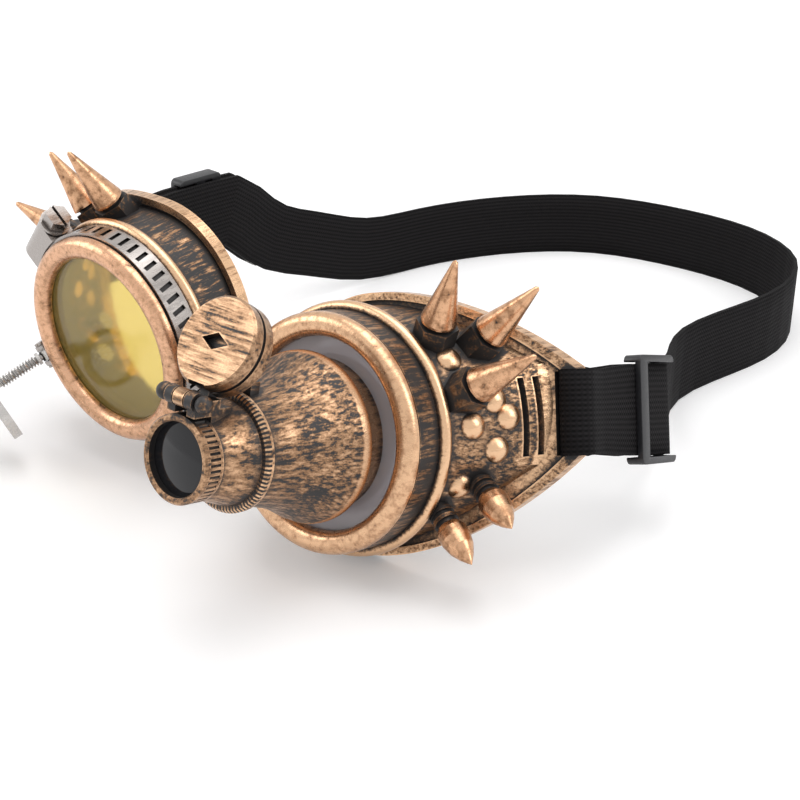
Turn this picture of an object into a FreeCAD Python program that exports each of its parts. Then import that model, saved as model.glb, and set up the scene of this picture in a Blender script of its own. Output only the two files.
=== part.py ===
import FreeCAD, Part
import math
import os
import Sketcher
from FreeCAD import Matrix, Placement, Rotation, Vector

# Steampunk goggles: two eye cups on an elastic head strap, one with a small scope and one with
# a worm clamp that carries a loupe. Millimetres. +Z is up, the lenses look along -Y, and +X is
# the viewer's right. The origin is the middle of the nose bridge.

SIZES = {
    # where the two eyes stand
    "nose_gap": 21.0,
    "front_setback": 17.0,
    "scope_eye_rise": -1.08,
    "clamp_eye_rise": 1.5,
    "scope_eye_pitch": 13.8,
    "clamp_eye_pitch": -4.3,
    "scope_eye_roll": 17.2,
    "clamp_eye_roll": 4.0,
    "table_drop": 40.5,
    # clearances
    "running_fit": 0.08,
    "loose_fit": 0.3,
    # screw-on lens ring
    "ring_outer_radius": 31.0,
    "lens_cover": 2.4,
    "ring_lip": 3.2,
    "ring_round": 1.7,
    "ring_skirt_depth": 3.3,
    "ring_skirt_wall": 1.4,
    # lens and its gasket
    "ring_side": 3.8,
    "lens_thickness": 2.0,
    "lens_gap": 0.2,
    "gasket_thickness": 0.8,
    "gasket_width": 2.0,
    # eye cup
    "collar_depth": 12.6,
    "lens_ledge": 2.0,
    "cup_wall": 2.0,
    "bead_radius": 1.7,
    "bead_rise": 0.6,
    "wall_nose_flare": 1.2,
    "wall_side_flare": 0.4,
    "flange_tip_width": 6.8,
    "wall_tip_half": 13.0,
    "wall_far_depth": 56.0,
    "flange_depth": 25.0,
    "flange_bend_radius": 75.0,
    "flange_thickness": 2.2,
    "flange_nose_width": 2.6,
    "flange_side_width": 3.2,
    "flange_tip_reach": 50.6,
    "flange_tip_half": 11.2,
    "tip_round": 1.5,
    "cup_tilt": 5.0,
    "rim_width": 2.0,
    "rim_height": 1.2,
    "vent_width": 1.6,
    "vent_length": 20.0,
    "vent_pitch": 3.8,
    "vent_setback": 6.52,
    "stud_radius": 3.4,
    "stud_height": 1.7,
    # long spikes
    "spike_length": 19.6,
    "spike_radius": 4.6,
    "spike_tip_radius": 0.7,
    "spike_neck": 1.0,
    "spike_base_height": 4.6,
    "spike_base_flats": 9.6,
    "spike_screw_radius": 1.5,
    "screw_head_radius": 3.0,
    "screw_head_height": 1.6,
    # short bullet spikes
    "bullet_radius": 3.9,
    "bullet_length": 12.4,
    "bullet_shoulder": 4.0,
    "post_radius": 2.6,
    "post_height": 6.0,
    "post_ring_radius": 3.3,
    "post_ring_width": 1.1,
    # scope
    "scope_margin": 3.5,
    "scope_wall": 1.8,
    "scope_neck_depth": 29.2,
    "scope_neck_radius": 13.6,
    "neck_ring_radius": 14.8,
    "neck_ring_width": 3.0,
    "barrel_back_radius": 13.0,
    "barrel_front_radius": 9.9,
    "barrel_length": 9.4,
    "scope_shoulder": 4.3,
    "scope_stem_wall": 1.6,
    "scope_nut_wall": 3.0,
    "scope_nut_height": 3.0,
    "front_ring_radius": 10.5,
    "front_ring_length": 5.4,
    "front_ring_wall": 1.7,
    "front_ring_tail": 3.0,
    "knurl_count": 48.0,
    "knurl_depth": 0.35,
    "front_glass_recess": 1.6,
    "front_glass_thickness": 1.8,
    # flip cap and hinge
    "cap_radius": 11.2,
    "cap_thickness": 4.3,
    "cap_plate_thickness": 3.5,
    "cap_seam": 0.5,
    "cap_peephole": 3.4,
    "cap_open_angle": 205.0,
    "cap_face_gap": 0.35,
    "hinge_rise": 4.0,
    "hinge_setback": 1.0,
    "hinge_pin_radius": 1.0,
    "hinge_knuckle_radius": 2.2,
    "hinge_knuckle_width": 3.2,
    "hinge_ball_radius": 2.1,
    # worm clamp
    "band_thickness": 0.8,
    "band_width": 7.2,
    "band_slot_count": 28.0,
    "band_slot_pitch": 6.6,
    "band_slot_start": -58.0,
    "band_slot_width": 1.3,
    "band_slot_length": 4.6,
    "housing_angle": 138.0,
    "housing_length": 14.0,
    "housing_height": 7.6,
    "housing_wall": 1.4,
    "worm_radius": 2.7,
    "worm_head_flats": 6.6,
    "worm_head_length": 4.2,
    # loupe
    "loupe_angle": 203.0,
    "loupe_bracket_width": 6.4,
    "loupe_ear_thickness": 1.3,
    "loupe_pivot_height": 4.6,
    "loupe_pivot_radius": 1.0,
    "loupe_rod_radius": 1.1,
    "loupe_carrier_reach": 21.0,
    "loupe_collar_radius": 2.4,
    "loupe_collar_length": 4.0,
    "loupe_lens_radius": 8.5,
    "loupe_lens_thickness": 1.6,
    "loupe_rim_wall": 0.9,
    "loupe_lens_offset": 12.2,
    "loupe_ball_radius": 2.3,
    "spring_wire": 0.45,
    "spring_pitch": 1.0,
    "spring_turns": 13.0,
    "spring_clearance": 0.25,
    # head strap and what is on it
    "strap_width": 25.0,
    "strap_thickness": 1.2,
    "strap_pinch": 20.6,
    "strap_layer_gap": 2.6,
    "scope_eye_straight": 25.5,
    "clamp_eye_straight": 55.5,
    "strap_flare": 16.0,
    "strap_twist": 80.0,
    "tail_length": 84.0,
    "tail_return": 9.5,
    "slot_width": 2.6,
    "slot_height": 21.4,
    "slot_bar": 3.6,
    "scope_eye_slider_place": 34.3,
    "clamp_eye_slider_place": 42.5,
    "slider_length": 18.6,
    "slider_height": 29.4,
    "slider_bar": 4.0,
    "slider_bar_thickness": 1.7,
    "slider_corner": 2.5,
    "strap_tip_length": 7.0,
    "strap_tip_sheet": 0.35,
    # nose bridge
    "lug_reach": 6.4,
    "lug_height": 13.0,
    "lug_depth": 6.4,
    "bridge_height": 10.0,
    "bridge_thickness": 2.0,
    "bridge_pin_radius": 1.1,
    "bridge_eye_wall": 0.8,
}

# Sizes that follow from others, so that what fits together stays together.
TIED_SIZES = {
    "eye_spacing": "2 * ring_outer_radius + nose_gap",
    "lens_radius": "ring_outer_radius - ring_side",
    "ring_opening_radius": "lens_radius - lens_cover",
    "bead_ring_radius": "ring_outer_radius + bead_rise",
    "wall_nose_reach": "ring_outer_radius + wall_nose_flare",
    "wall_half_height": "ring_outer_radius + wall_side_flare",
    "wall_tip_reach": "flange_tip_reach - flange_tip_width",
    "wall_tip_depth": "flange_depth + flange_bend_radius - sqrt(flange_bend_radius ^ 2 - wall_tip_reach ^ 2)",
    "flange_nose_reach": "wall_nose_reach + flange_nose_width",
    "flange_half_height": "wall_half_height + flange_side_width",
    "vent_depth": "wall_tip_depth - vent_setback",
    "scope_base_radius": "ring_opening_radius - scope_margin",
    "scope_stem_radius": "scope_base_radius - scope_shoulder",
    "scope_nut_radius": "scope_stem_radius + scope_nut_wall",
}

# Places on the cup wall: turn from the temple axis in degrees, and depth behind the ring's face.
# A long spike also has the turn that it points in and its lean to the front.
LONG_SPIKE_PLACES = {
    "scope_eye": [(41, 20, 53, 17), (31, 29, 33, 2), (13, 19, 20, 2)],
    "clamp_eye": [(67, 22, 73, 27), (48, 22, 56, 12), (30, 19, 20, 12)],
}
BULLET_PLACES = [(-41, 17), (-25, 24)]
STUD_PLACES = [(29, 19.5), (8, 26), (-1, 20), (1, 29), (-11, 26), (-28, 19.5)]

# Middle of the strap's lower edge, from the scope side round the back to the clamp side.
# Each point is x, y and the height above the table.
STRAP_ROUTE = [
    (78, 122, 5),
    (64, 152, 0.6),
    (66, 178, 0.2),
    (70, 206, 0),
    (62, 240, 0),
    (33, 265, 0),
    (-6, 271, 0),
    (-44, 263, 0),
    (-74, 233, 0.1),
    (-88, 200, 0.3),
    (-93, 172, 2),
    (-95, 144, 11),
    (-95, 120, 21),
]

SIDES = {"scope_eye": 1, "clamp_eye": -1}

doc = FreeCAD.newDocument("goggles")
sheet = doc.addObject("Spreadsheet::Sheet", "Sizes")
cells = {name: str(number) for name, number in SIZES.items()}
cells.update({name: "=" + text for name, text in TIED_SIZES.items()})
for row, name in enumerate(cells, start=1):
    sheet.setAlias(f"B{row}", name)
for row, (name, text) in enumerate(cells.items(), start=1):
    sheet.set(f"A{row}", name)
    sheet.set(f"B{row}", text)
doc.recompute()


class Size:
    """A length that remembers the sheet expression it comes from."""

    def __init__(self, value, text):
        self.value = value
        self.text = text

    def joined(self, other, sign, value):
        return Size(value, f"({self.text} {sign} {as_size(other).text})")

    def __add__(self, other):
        return self.joined(other, "+", self.value + as_size(other).value)

    def __sub__(self, other):
        return self.joined(other, "-", self.value - as_size(other).value)

    def __mul__(self, other):
        return self.joined(other, "*", self.value * as_size(other).value)

    def __truediv__(self, other):
        return self.joined(other, "/", self.value / as_size(other).value)

    def __neg__(self):
        return Size(-self.value, f"(-{self.text})")


def as_size(item):
    return item if isinstance(item, Size) else Size(float(item), str(float(item)))


def bound(name):
    """A named size as an expression, for sketches and features."""
    return Size(float(sheet.get(name)), f"Sizes.{name}")


def size(name):
    """A named size as a plain number, for shapes made with functions."""
    return float(sheet.get(name))


# Frames of the two eyes

def eye_placement(eye):
    """Eye frame: x to the viewer's right, y up, z out of the lens, zero on the ring's face."""
    place = Vector(SIDES[eye] * size("eye_spacing") / 2, -size("front_setback"), size(eye + "_rise"))
    return Placement(place, Rotation(Vector(1, 0, 0), 90 - size(eye + "_pitch")))


def to_eye(eye, shape):
    """Turn a shape from the leaf frame, temple along +x, to one eye's frame."""
    shape = shape.copy()
    shape.rotate(Vector(), Vector(0, 0, 1), size(eye + "_roll"))
    return shape if SIDES[eye] > 0 else shape.mirror(Vector(), Vector(1, 0, 0))


def leaf_point(eye, point):
    """World place of a point given in the leaf frame."""
    turned = Rotation(Vector(0, 0, 1), size(eye + "_roll")).multVec(point)
    return eye_placement(eye).multVec(Vector(SIDES[eye] * turned.x, turned.y, turned.z))


# Document objects

def own_plane(body, role):
    return next(item for item in body.Origin.OriginFeatures if item.Role == role)


def bound_polygon(body, name, role, points):
    """A closed polygon sketch whose corners are tied to the sheet."""
    sketch = body.newObject("Sketcher::SketchObject", name)
    sketch.AttachmentSupport = [(own_plane(body, role), "")]
    sketch.MapMode = "FlatFace"
    corners = [(as_size(x), as_size(y)) for x, y in points]
    count = len(corners)
    for i in range(count):
        start, end = corners[i], corners[(i + 1) % count]
        sketch.addGeometry(Part.LineSegment(Vector(start[0].value, start[1].value, 0),
                                            Vector(end[0].value, end[1].value, 0)))
    for i in range(count):
        sketch.addConstraint(Sketcher.Constraint("Coincident", i, 2, (i + 1) % count, 1))
    for i, corner in enumerate(corners):
        for kind, axis, item in (("DistanceX", -2, corner[0]), ("DistanceY", -1, corner[1])):
            if abs(item.value) < 1e-9:
                sketch.addConstraint(Sketcher.Constraint("PointOnObject", i, 1, axis))
            else:
                index = sketch.addConstraint(Sketcher.Constraint(kind, -1, 1, i, 1, item.value))
                sketch.setExpression(f"Constraints[{index}]", item.text)
    return sketch


def turned_body(label, profile, place):
    """A body turned about its z axis from a profile of radius and height."""
    body = doc.addObject("PartDesign::Body", label)
    sketch = bound_polygon(body, label + "_profile", "XZ_Plane", profile)
    turn = body.newObject("PartDesign::Revolution", label + "_turn")
    turn.Profile = sketch
    turn.ReferenceAxis = (sketch, ["V_Axis"])
    turn.Angle = 360
    body.Placement = place
    doc.recompute()
    return body


def rounded(body, radius_name, chosen):
    """Round the edges of a body's last feature that the test picks."""
    base = body.Tip
    names = [f"Edge{i}" for i, edge in enumerate(base.Shape.Edges, start=1) if chosen(edge)]
    fillet = body.newObject("PartDesign::Fillet", body.Label + "_round")
    fillet.Base = (base, names)
    fillet.setExpression("Radius", f"Sizes.{radius_name}")
    body.Tip = fillet
    doc.recompute()
    return body


def shaped(label, shape, place=None):
    """A sub-part whose shape is made with functions."""
    item = doc.addObject("Part::Feature", label)
    item.Shape = shape
    item.Placement = (place if place else Placement()).multiply(shape.Placement)
    return item


# Small shapes

def cylinder(radius, length, base=Vector(), axis=Vector(0, 0, 1)):
    return Part.makeCylinder(radius, length, base, axis)


def box(low, high):
    return Part.makeBox(high[0] - low[0], high[1] - low[1], high[2] - low[2], Vector(*low))


def turned(points):
    """A solid turned about z from points of radius and height."""
    corners = [Vector(r, 0, z) for r, z in points]
    face = Part.Face(Part.makePolygon(corners + corners[:1]))
    return face.revolve(Vector(), Vector(0, 0, 1), 360)


def hexagon(flats, low, high):
    corner = flats / math.sqrt(3)
    points = [Vector(corner * math.cos(math.radians(60 * k)), corner * math.sin(math.radians(60 * k)), low)
              for k in range(7)]
    return Part.Face(Part.makePolygon(points)).extrude(Vector(0, 0, high - low))


def along(shape, point, direction):
    """Stand a shape made along +z at a point, pointing along a direction."""
    shape = shape.copy()
    shape.Placement = Placement(point, Rotation(Vector(0, 0, 1), direction)).multiply(shape.Placement)
    return shape


def ribbon(centres, acrosses, widths, thickness):
    """A flat band through a row of centres, with the direction across it and its width at each."""
    sections = []
    for i, centre in enumerate(centres):
        ahead = centres[min(i + 1, len(centres) - 1)] - centres[max(i - 1, 0)]
        ahead.normalize()
        across = acrosses[i] - ahead * acrosses[i].dot(ahead)
        across.normalize()
        out = across.cross(ahead) * (thickness / 2)
        half = across * (widths[i] / 2)
        corners = [centre + half + out, centre + half - out, centre - half - out, centre - half + out]
        sections.append(Part.makePolygon(corners + corners[:1]))
    return Part.makeLoft(sections, True, True)


# Eye cup

def leaf_wire(nose, half, reach, tip_half, depth):
    """Leaf outline: a round nose side, two long arcs to a blunt temple tip."""
    drop = half - tip_half
    side = (reach ** 2 + drop ** 2) / (2 * drop)
    end = math.atan2(tip_half - half + side, reach)
    middle = (end + math.pi / 2) / 2
    bulge = (side * math.cos(middle), half - side + side * math.sin(middle))
    z = -depth
    top, bottom = Vector(0, half, z), Vector(0, -half, z)
    tip_top, tip_low = Vector(reach, tip_half, z), Vector(reach, -tip_half, z)
    arcs = [
        Part.Arc(top, Vector(-nose, 0, z), bottom),
        Part.Arc(bottom, Vector(bulge[0], -bulge[1], z), tip_low),
        Part.Arc(tip_low, Vector(reach + size("tip_round"), 0, z), tip_top),
        Part.Arc(tip_top, Vector(bulge[0], bulge[1], z), top),
    ]
    return Part.Wire([arc.toShape() for arc in arcs])


def round_wire(radius, turn, depth):
    """A circle cut at the same four places as the leaf."""
    def at(angle):
        return Vector(radius * math.cos(angle), radius * math.sin(angle), -depth)

    quarter = math.pi / 2
    middle = (turn + quarter) / 2
    arcs = [
        Part.Arc(at(quarter), at(2 * quarter), at(-quarter)),
        Part.Arc(at(-quarter), at(-middle), at(-turn)),
        Part.Arc(at(-turn), at(0), at(turn)),
        Part.Arc(at(turn), at(middle), at(quarter)),
    ]
    return Part.Wire([arc.toShape() for arc in arcs])


def bent_slab(front, back):
    """A slab that follows the flange, flat at the nose and bent back at the temple."""
    radius, depth = size("flange_bend_radius"), size("flange_depth")
    nose = -size("flange_nose_reach") * 1.5
    half = size("flange_half_height") * 1.5
    turn = math.asin((size("flange_tip_reach") + size("tip_round")) / radius)
    beyond = Vector(math.cos(turn), 0, -math.sin(turn)) * size("flange_tip_reach") / 4

    def on_arc(offset, angle):
        r = radius + offset
        return Vector(r * math.sin(angle), -half, r * math.cos(angle) - depth - radius)

    edges = [
        Part.makeLine(Vector(nose, -half, front - depth), on_arc(front, 0)),
        Part.Arc(on_arc(front, 0), on_arc(front, turn / 2), on_arc(front, turn)).toShape(),
        Part.makeLine(on_arc(front, turn), on_arc(front, turn) + beyond),
        Part.makeLine(on_arc(front, turn) + beyond, on_arc(back, turn) + beyond),
        Part.makeLine(on_arc(back, turn) + beyond, on_arc(back, turn)),
        Part.Arc(on_arc(back, turn), on_arc(back, turn / 2), on_arc(back, 0)).toShape(),
        Part.makeLine(on_arc(back, 0), Vector(nose, -half, back - depth)),
        Part.makeLine(Vector(nose, -half, back - depth), Vector(nose, -half, front - depth)),
    ]
    slab = Part.Face(Part.Wire(edges)).extrude(Vector(0, 2 * half, 0))
    slab.rotate(Vector(0, 0, -depth), Vector(1, 0, 0), -size("cup_tilt"))
    return slab


def wall_loft(inset):
    """The solid inside the cup's wall, from the round collar to the leaf."""
    start = size("collar_depth")
    far = size("wall_far_depth")
    collar = size("ring_outer_radius") - inset
    tip_depth = size("wall_tip_depth")

    def carried(name, depth):
        reach = size(name) - inset
        return collar + (reach - collar) * (far - start) / (depth - start)

    flat = size("flange_depth")
    tip = carried("wall_tip_reach", tip_depth)
    tip_half = (size("wall_tip_half") - inset) * tip / (size("wall_tip_reach") - inset)
    turn = math.atan2(tip_half, tip)
    leaf = leaf_wire(carried("wall_nose_reach", flat), carried("wall_half_height", flat), tip, tip_half, far)
    return Part.makeLoft([round_wire(collar, turn, start), leaf], True, True)


def leaf_prism(inset):
    wire = leaf_wire(size("flange_nose_reach") - inset, size("flange_half_height") - inset,
                     size("flange_tip_reach") - inset, size("flange_tip_half") - inset * 0.6, 0)
    return Part.Face(wire).extrude(Vector(0, 0, -2 * size("wall_far_depth")))


def wall_place(wall, turn, depth):
    """Point on the cup's outer wall and the direction square to it there."""
    angle = math.radians(turn)
    reach = 3 * size("flange_tip_reach")
    ray = Part.makeLine(Vector(0, 0, -depth), Vector(reach * math.cos(angle), reach * math.sin(angle), -depth))
    point = max((v.Point for v in ray.common(wall).Vertexes), key=lambda p: p.x ** 2 + p.y ** 2)
    face = min(wall.Faces, key=lambda f: f.distToShape(Part.Vertex(point))[0])
    u, v = face.Surface.parameter(point)
    return point, face.normalAt(u, v)


def collar_solid():
    """Front of the cup: thread groove, lens ledge, and the bead behind the clamp band."""
    outer = size("ring_outer_radius")
    front = size("ring_lip") + size("loose_fit")
    skirt_in = size("lens_radius") + size("running_fit")
    skirt_out = skirt_in + size("ring_skirt_wall")
    groove = size("ring_lip") + size("ring_skirt_depth") + size("loose_fit")
    ledge = size("ring_lip") + size("lens_gap") + size("lens_thickness") + size("gasket_thickness")
    opening = size("ring_opening_radius")
    depth = size("collar_depth")
    inner = outer - size("cup_wall")
    profile = [
        (outer, -front),
        (outer, -depth - 1.5),
        (inner, -depth - 1.5),
        (opening, -ledge - size("lens_ledge")),
        (opening, -ledge),
        (skirt_in - size("running_fit"), -ledge),
        (skirt_in - size("running_fit"), -groove),
        (skirt_out + size("running_fit"), -groove),
        (skirt_out + size("running_fit"), -front),
    ]
    bead = Part.makeTorus(size("bead_ring_radius"), size("bead_radius"), Vector(0, 0, -depth))
    return turned(profile).fuse(bead.cut(cylinder(inner, 4 * size("bead_radius"),
                                                  Vector(0, 0, -depth - 2 * size("bead_radius")))))


def lug_frame(eye):
    """Nose lug, which faces the other eye: its middle, outward and upward ways in the leaf frame."""
    angle = math.radians(180 - size(eye + "_roll"))
    out = Vector(math.cos(angle), math.sin(angle), 0)
    up = Vector(math.sin(angle), -math.cos(angle), 0)
    depth = size("collar_depth") + size("bead_radius") + size("lug_depth") / 2 + size("loose_fit")
    middle = out * (size("ring_outer_radius") + size("lug_reach") - size("lug_depth") / 2) + Vector(0, 0, -depth)
    return middle, out, up


def in_lug(eye, shape):
    """Move a shape made with x outward, y up and z forward to the nose lug."""
    middle, out, up = lug_frame(eye)
    matrix = Matrix(out.x, up.x, 0, middle.x, out.y, up.y, 0, middle.y, 0, 0, 1, middle.z, 0, 0, 0, 1)
    if out.cross(up).z < 0:
        matrix = Matrix(out.x, -up.x, 0, middle.x, out.y, -up.y, 0, middle.y, 0, 0, 1, middle.z, 0, 0, 0, 1)
    shape = shape.copy()
    shape.Placement = Placement(matrix).multiply(shape.Placement)
    return shape


def lug_solid(eye):
    half = size("lug_depth") / 2
    height = size("lug_height") / 2
    root = -size("lug_reach") - size("cup_wall") / 2 + half
    block = box((root, -height, -half), (0, height, half))
    block = block.fuse(cylinder(half, 2 * height, Vector(0, -height, 0), Vector(0, 1, 0)))
    slit = size("bridge_pin_radius") + size("bridge_eye_wall") + size("loose_fit")
    tall = size("bridge_height") / 2 + size("loose_fit")
    mouth = box((-half, -tall, -slit), (2 * half, tall, slit))
    pin = cylinder(size("bridge_pin_radius"), 2 * height, Vector(0, -height, 0), Vector(0, 1, 0))
    return in_lug(eye, block.cut(mouth).cut(pin))


def stud(point, normal):
    """A low dome pressed out of the wall."""
    radius, height = size("stud_radius"), size("stud_height")
    ball = (radius ** 2 + height ** 2) / (2 * height)
    return Part.makeSphere(ball, point + normal * (height - ball))


def studded(wall):
    """Outside of the cup's wall with its pressed studs, still filled."""
    return wall.fuse([stud(*wall_place(wall, *place)) for place in STUD_PLACES])


def strap_slot():
    """Near and far edge of the slot for the strap, towards the temple."""
    far = size("flange_tip_reach") + size("tip_round") - size("slot_bar")
    return far - size("slot_width"), far


def cup_leaf_solid(skin):
    """The whole cup in the leaf frame, before its holes for spikes."""
    hollow = wall_loft(size("cup_wall"))
    back = -size("flange_thickness")
    behind = bent_slab(back, -size("flange_bend_radius") * 0.9)
    plate = leaf_prism(0).common(bent_slab(0, back))
    near, far = strap_slot()
    slot = size("slot_height") / 2
    deep = 2 * size("wall_far_depth")
    rim = leaf_prism(0).cut(leaf_prism(size("rim_width"))).common(bent_slab(size("rim_height"), -0.5))
    rim = rim.cut(box((near, -slot, -deep), (deep, slot, 0)))
    shell = skin.cut(behind).fuse([plate, rim]).cut(hollow).fuse(collar_solid())
    vent = size("vent_length") / 2
    tip = size("wall_tip_reach")
    cuts = [box((near, -slot, -deep), (far, slot, -size("flange_depth")))]
    for k in range(2):
        low = -size("vent_depth") - k * size("vent_pitch")
        cuts.append(box((tip * 0.7, -vent, low - size("vent_width")), (tip * 1.1, vent, low)))
    return shell.cut(cuts)


def spike_frames(eye, wall):
    """Where the long spikes stand on the wall, and the way that each points."""
    frames = []
    for turn, depth, way_turn, lean in LONG_SPIKE_PLACES[eye]:
        point, normal = wall_place(wall, turn, depth)
        across, ahead = math.radians(way_turn), math.radians(lean)
        frames.append((point, Vector(math.cos(across) * math.cos(ahead), math.sin(across) * math.cos(ahead),
                                     math.sin(ahead))))
    return frames


def bullet_frames(wall):
    return [wall_place(wall, *place) for place in BULLET_PLACES]


def drilled(eye, wall, leaf):
    """The cup with a screw hole under each spike."""
    reach = 4 * size("cup_wall")
    return leaf.cut([cylinder(size("spike_screw_radius"), 2 * reach, point - way * reach, way)
                     for point, way in spike_frames(eye, wall) + bullet_frames(wall)])


# Spikes

def long_spike():
    radius, neck = size("spike_radius"), size("spike_neck")
    tip = size("spike_tip_radius")
    length = size("spike_length")
    low = size("spike_base_height")
    cone = [(0, low), (radius * 0.72, low), (radius * 0.72, low + neck * 0.6), (radius, low + neck),
            (radius, low + neck * 1.6), (tip, low + length - tip), (0, low + length)]
    return turned(cone)


def spike_base():
    """Hexagon base, made long enough to be cut to the wall it stands on."""
    height = size("spike_base_height")
    return hexagon(size("spike_base_flats"), -height, height).cut(
        cylinder(size("spike_screw_radius"), 2 * height, Vector(0, 0, -height)))


def bullet():
    low = size("post_height")
    radius, length = size("bullet_radius"), size("bullet_length")
    shoulder = size("bullet_shoulder")
    profile = [(0, low), (radius * 0.8, low), (radius, low + shoulder * 0.4), (radius, low + shoulder)]
    nose = length - shoulder
    for share in (0.35, 0.65, 0.88):
        profile.append((radius * (1 - share ** 1.7), low + shoulder + nose * share))
    return turned(profile + [(0, low + length)])


def bullet_post():
    """A ribbed post: two rings on a plain stem, bored for its screw and cut to the wall."""
    stem, ring = size("post_radius"), size("post_ring_radius")
    width, height = size("post_ring_width"), size("post_height")
    bore = size("spike_screw_radius")
    gap = (height - 2 * width) / 3
    profile = [(bore, -height / 2), (stem, -height / 2)]
    for k in range(2):
        low = gap + k * (width + gap)
        profile += [(stem, low), (ring, low), (ring, low + width), (stem, low + width)]
    return turned(profile + [(stem, height), (bore, height)])


def wall_screw(reach, frame, hollow, leaf):
    """Screw from inside the cup: a pan head that fits the wall's inside, on a plain shank."""
    wall, head = size("cup_wall"), size("screw_head_height")
    low = Vector(0, 0, -2 * wall - head)
    shank = cylinder(size("spike_screw_radius") - size("running_fit") / 2, reach - low.z, low)
    pan = cylinder(size("screw_head_radius"), 2 * wall + head, low)
    return along(pan, *frame).common(hollow).cut(leaf).fuse(along(shank, *frame))


def spikes(eye, wall, skin, leaf):
    """Five spikes of one cup, each kind as one group, with their screws."""
    long_frames, short_frames = spike_frames(eye, wall), bullet_frames(wall)
    hollow = wall_loft(size("cup_wall"))
    screws = [wall_screw(size("spike_base_height"), frame, hollow, leaf) for frame in long_frames]
    screws += [wall_screw(size("post_height"), frame, hollow, leaf) for frame in short_frames]
    groups = {
        "_long_spikes": [along(long_spike(), *frame) for frame in long_frames],
        "_spike_bases": [along(spike_base(), *frame).cut(skin).cut(leaf) for frame in long_frames],
        "_short_spikes": [along(bullet(), *frame) for frame in short_frames],
        "_short_spike_posts": [along(bullet_post(), *frame).cut(skin).cut(leaf) for frame in short_frames],
        "_spike_screws": screws,
    }
    for name, solids in groups.items():
        shaped(eye + name, Part.makeCompound([to_eye(eye, solid) for solid in solids]), eye_placement(eye))


# Lens, ring and gasket

def lens_ring(eye):
    lip, outer = bound("ring_lip"), bound("ring_outer_radius")
    skirt_in = bound("lens_radius") + bound("running_fit")
    skirt_out = skirt_in + bound("ring_skirt_wall")
    end = lip + bound("ring_skirt_depth")
    profile = [(bound("ring_opening_radius"), 0), (outer, 0), (outer, -lip), (skirt_out, -lip),
               (skirt_out, -end), (skirt_in, -end), (skirt_in, -lip), (bound("ring_opening_radius"), -lip)]
    body = turned_body(eye + "_ring", profile, eye_placement(eye))

    def front_edge(edge):
        return edge.BoundBox.ZMin > -0.01 and edge.BoundBox.XMax > (outer.value - 0.01)

    return rounded(body, "ring_round", front_edge)


def lens(eye):
    front = bound("ring_lip") + bound("lens_gap")
    back = front + bound("lens_thickness")
    hole = bound("scope_stem_radius") + bound("running_fit") if SIDES[eye] > 0 else 0
    profile = [(hole, -front), (bound("lens_radius"), -front), (bound("lens_radius"), -back), (hole, -back)]
    turned_body(eye + "_lens", profile, eye_placement(eye))


def gasket(eye):
    front = bound("ring_lip") + bound("lens_gap") + bound("lens_thickness")
    back = front + bound("gasket_thickness")
    outer = bound("lens_radius")
    inner = outer - bound("gasket_width")
    turned_body(eye + "_gasket", [(inner, -front), (outer, -front), (outer, -back), (inner, -back)],
                eye_placement(eye))


# Scope

def scope_bell():
    """Bell of the scope, with a stem through the lens and a tab for the open cap."""
    base = -size("ring_lip") - size("lens_gap")
    radius, neck = size("scope_base_radius"), size("scope_neck_radius")
    end, wall = size("scope_neck_depth"), size("scope_wall")
    stem = size("scope_stem_radius")
    stem_end = base - size("lens_thickness") - size("scope_nut_height")
    swell = Vector(radius - (radius - neck) * 0.36, 0, base + (end - base) * 0.52)

    def side(inset):
        return Part.Arc(Vector(radius - inset, 0, base + 2.4), swell - Vector(inset, 0, 0),
                        Vector(neck - inset, 0, end)).toShape()

    inside = stem - size("scope_stem_wall")
    corners = [Vector(neck - wall, 0, end), Vector(neck, 0, end), Vector(radius, 0, base + 2.4),
               Vector(radius, 0, base), Vector(stem, 0, base), Vector(stem, 0, stem_end),
               Vector(inside, 0, stem_end), Vector(inside, 0, base + 2.4), Vector(radius - wall, 0, base + 2.4)]
    lines = [Part.makeLine(a, b) for a, b in zip(corners[2:-1], corners[3:])]
    wire = Part.Wire(Part.__sortEdges__([side(0), side(wall), Part.makeLine(corners[0], corners[1])] + lines))
    bell = Part.Face(wire).revolve(Vector(), Vector(0, 0, 1), 360)
    tab_top = neck + 3.4
    tab = box((-2.6, neck - wall, end - 4.4), (2.6, tab_top, end - 1.2))
    return shaped("scope_bell", bell.fuse(tab.cut(cylinder(neck - wall / 2, 2 * end))), eye_placement("scope_eye"))


def neck_ring():
    end = bound("scope_neck_depth")
    outer = bound("neck_ring_radius")
    top = end + bound("neck_ring_width")
    step = bound("neck_ring_width") / 4
    inner = bound("barrel_back_radius") - bound("scope_wall")
    profile = [(inner, end), (outer - step, end), (outer, end + step), (outer, top - step),
               (outer - step, top), (inner, top)]
    turned_body("scope_neck_ring", profile, eye_placement("scope_eye"))


def barrel_front():
    return size("scope_neck_depth") + size("neck_ring_width") + size("barrel_length")


def barrel():
    low = bound("scope_neck_depth") + bound("neck_ring_width")
    top = low + bound("barrel_length")
    back, front = bound("barrel_back_radius"), bound("barrel_front_radius")
    wall = bound("scope_wall")
    seat = bound("front_ring_radius") - bound("front_ring_wall") + bound("running_fit")
    tail = top - bound("front_ring_tail") - bound("loose_fit")
    profile = [(back - wall, low), (back, low), (front, top), (seat, top), (seat, tail), (seat - wall / 2, tail)]
    turned_body("scope_barrel", profile, eye_placement("scope_eye"))


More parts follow.
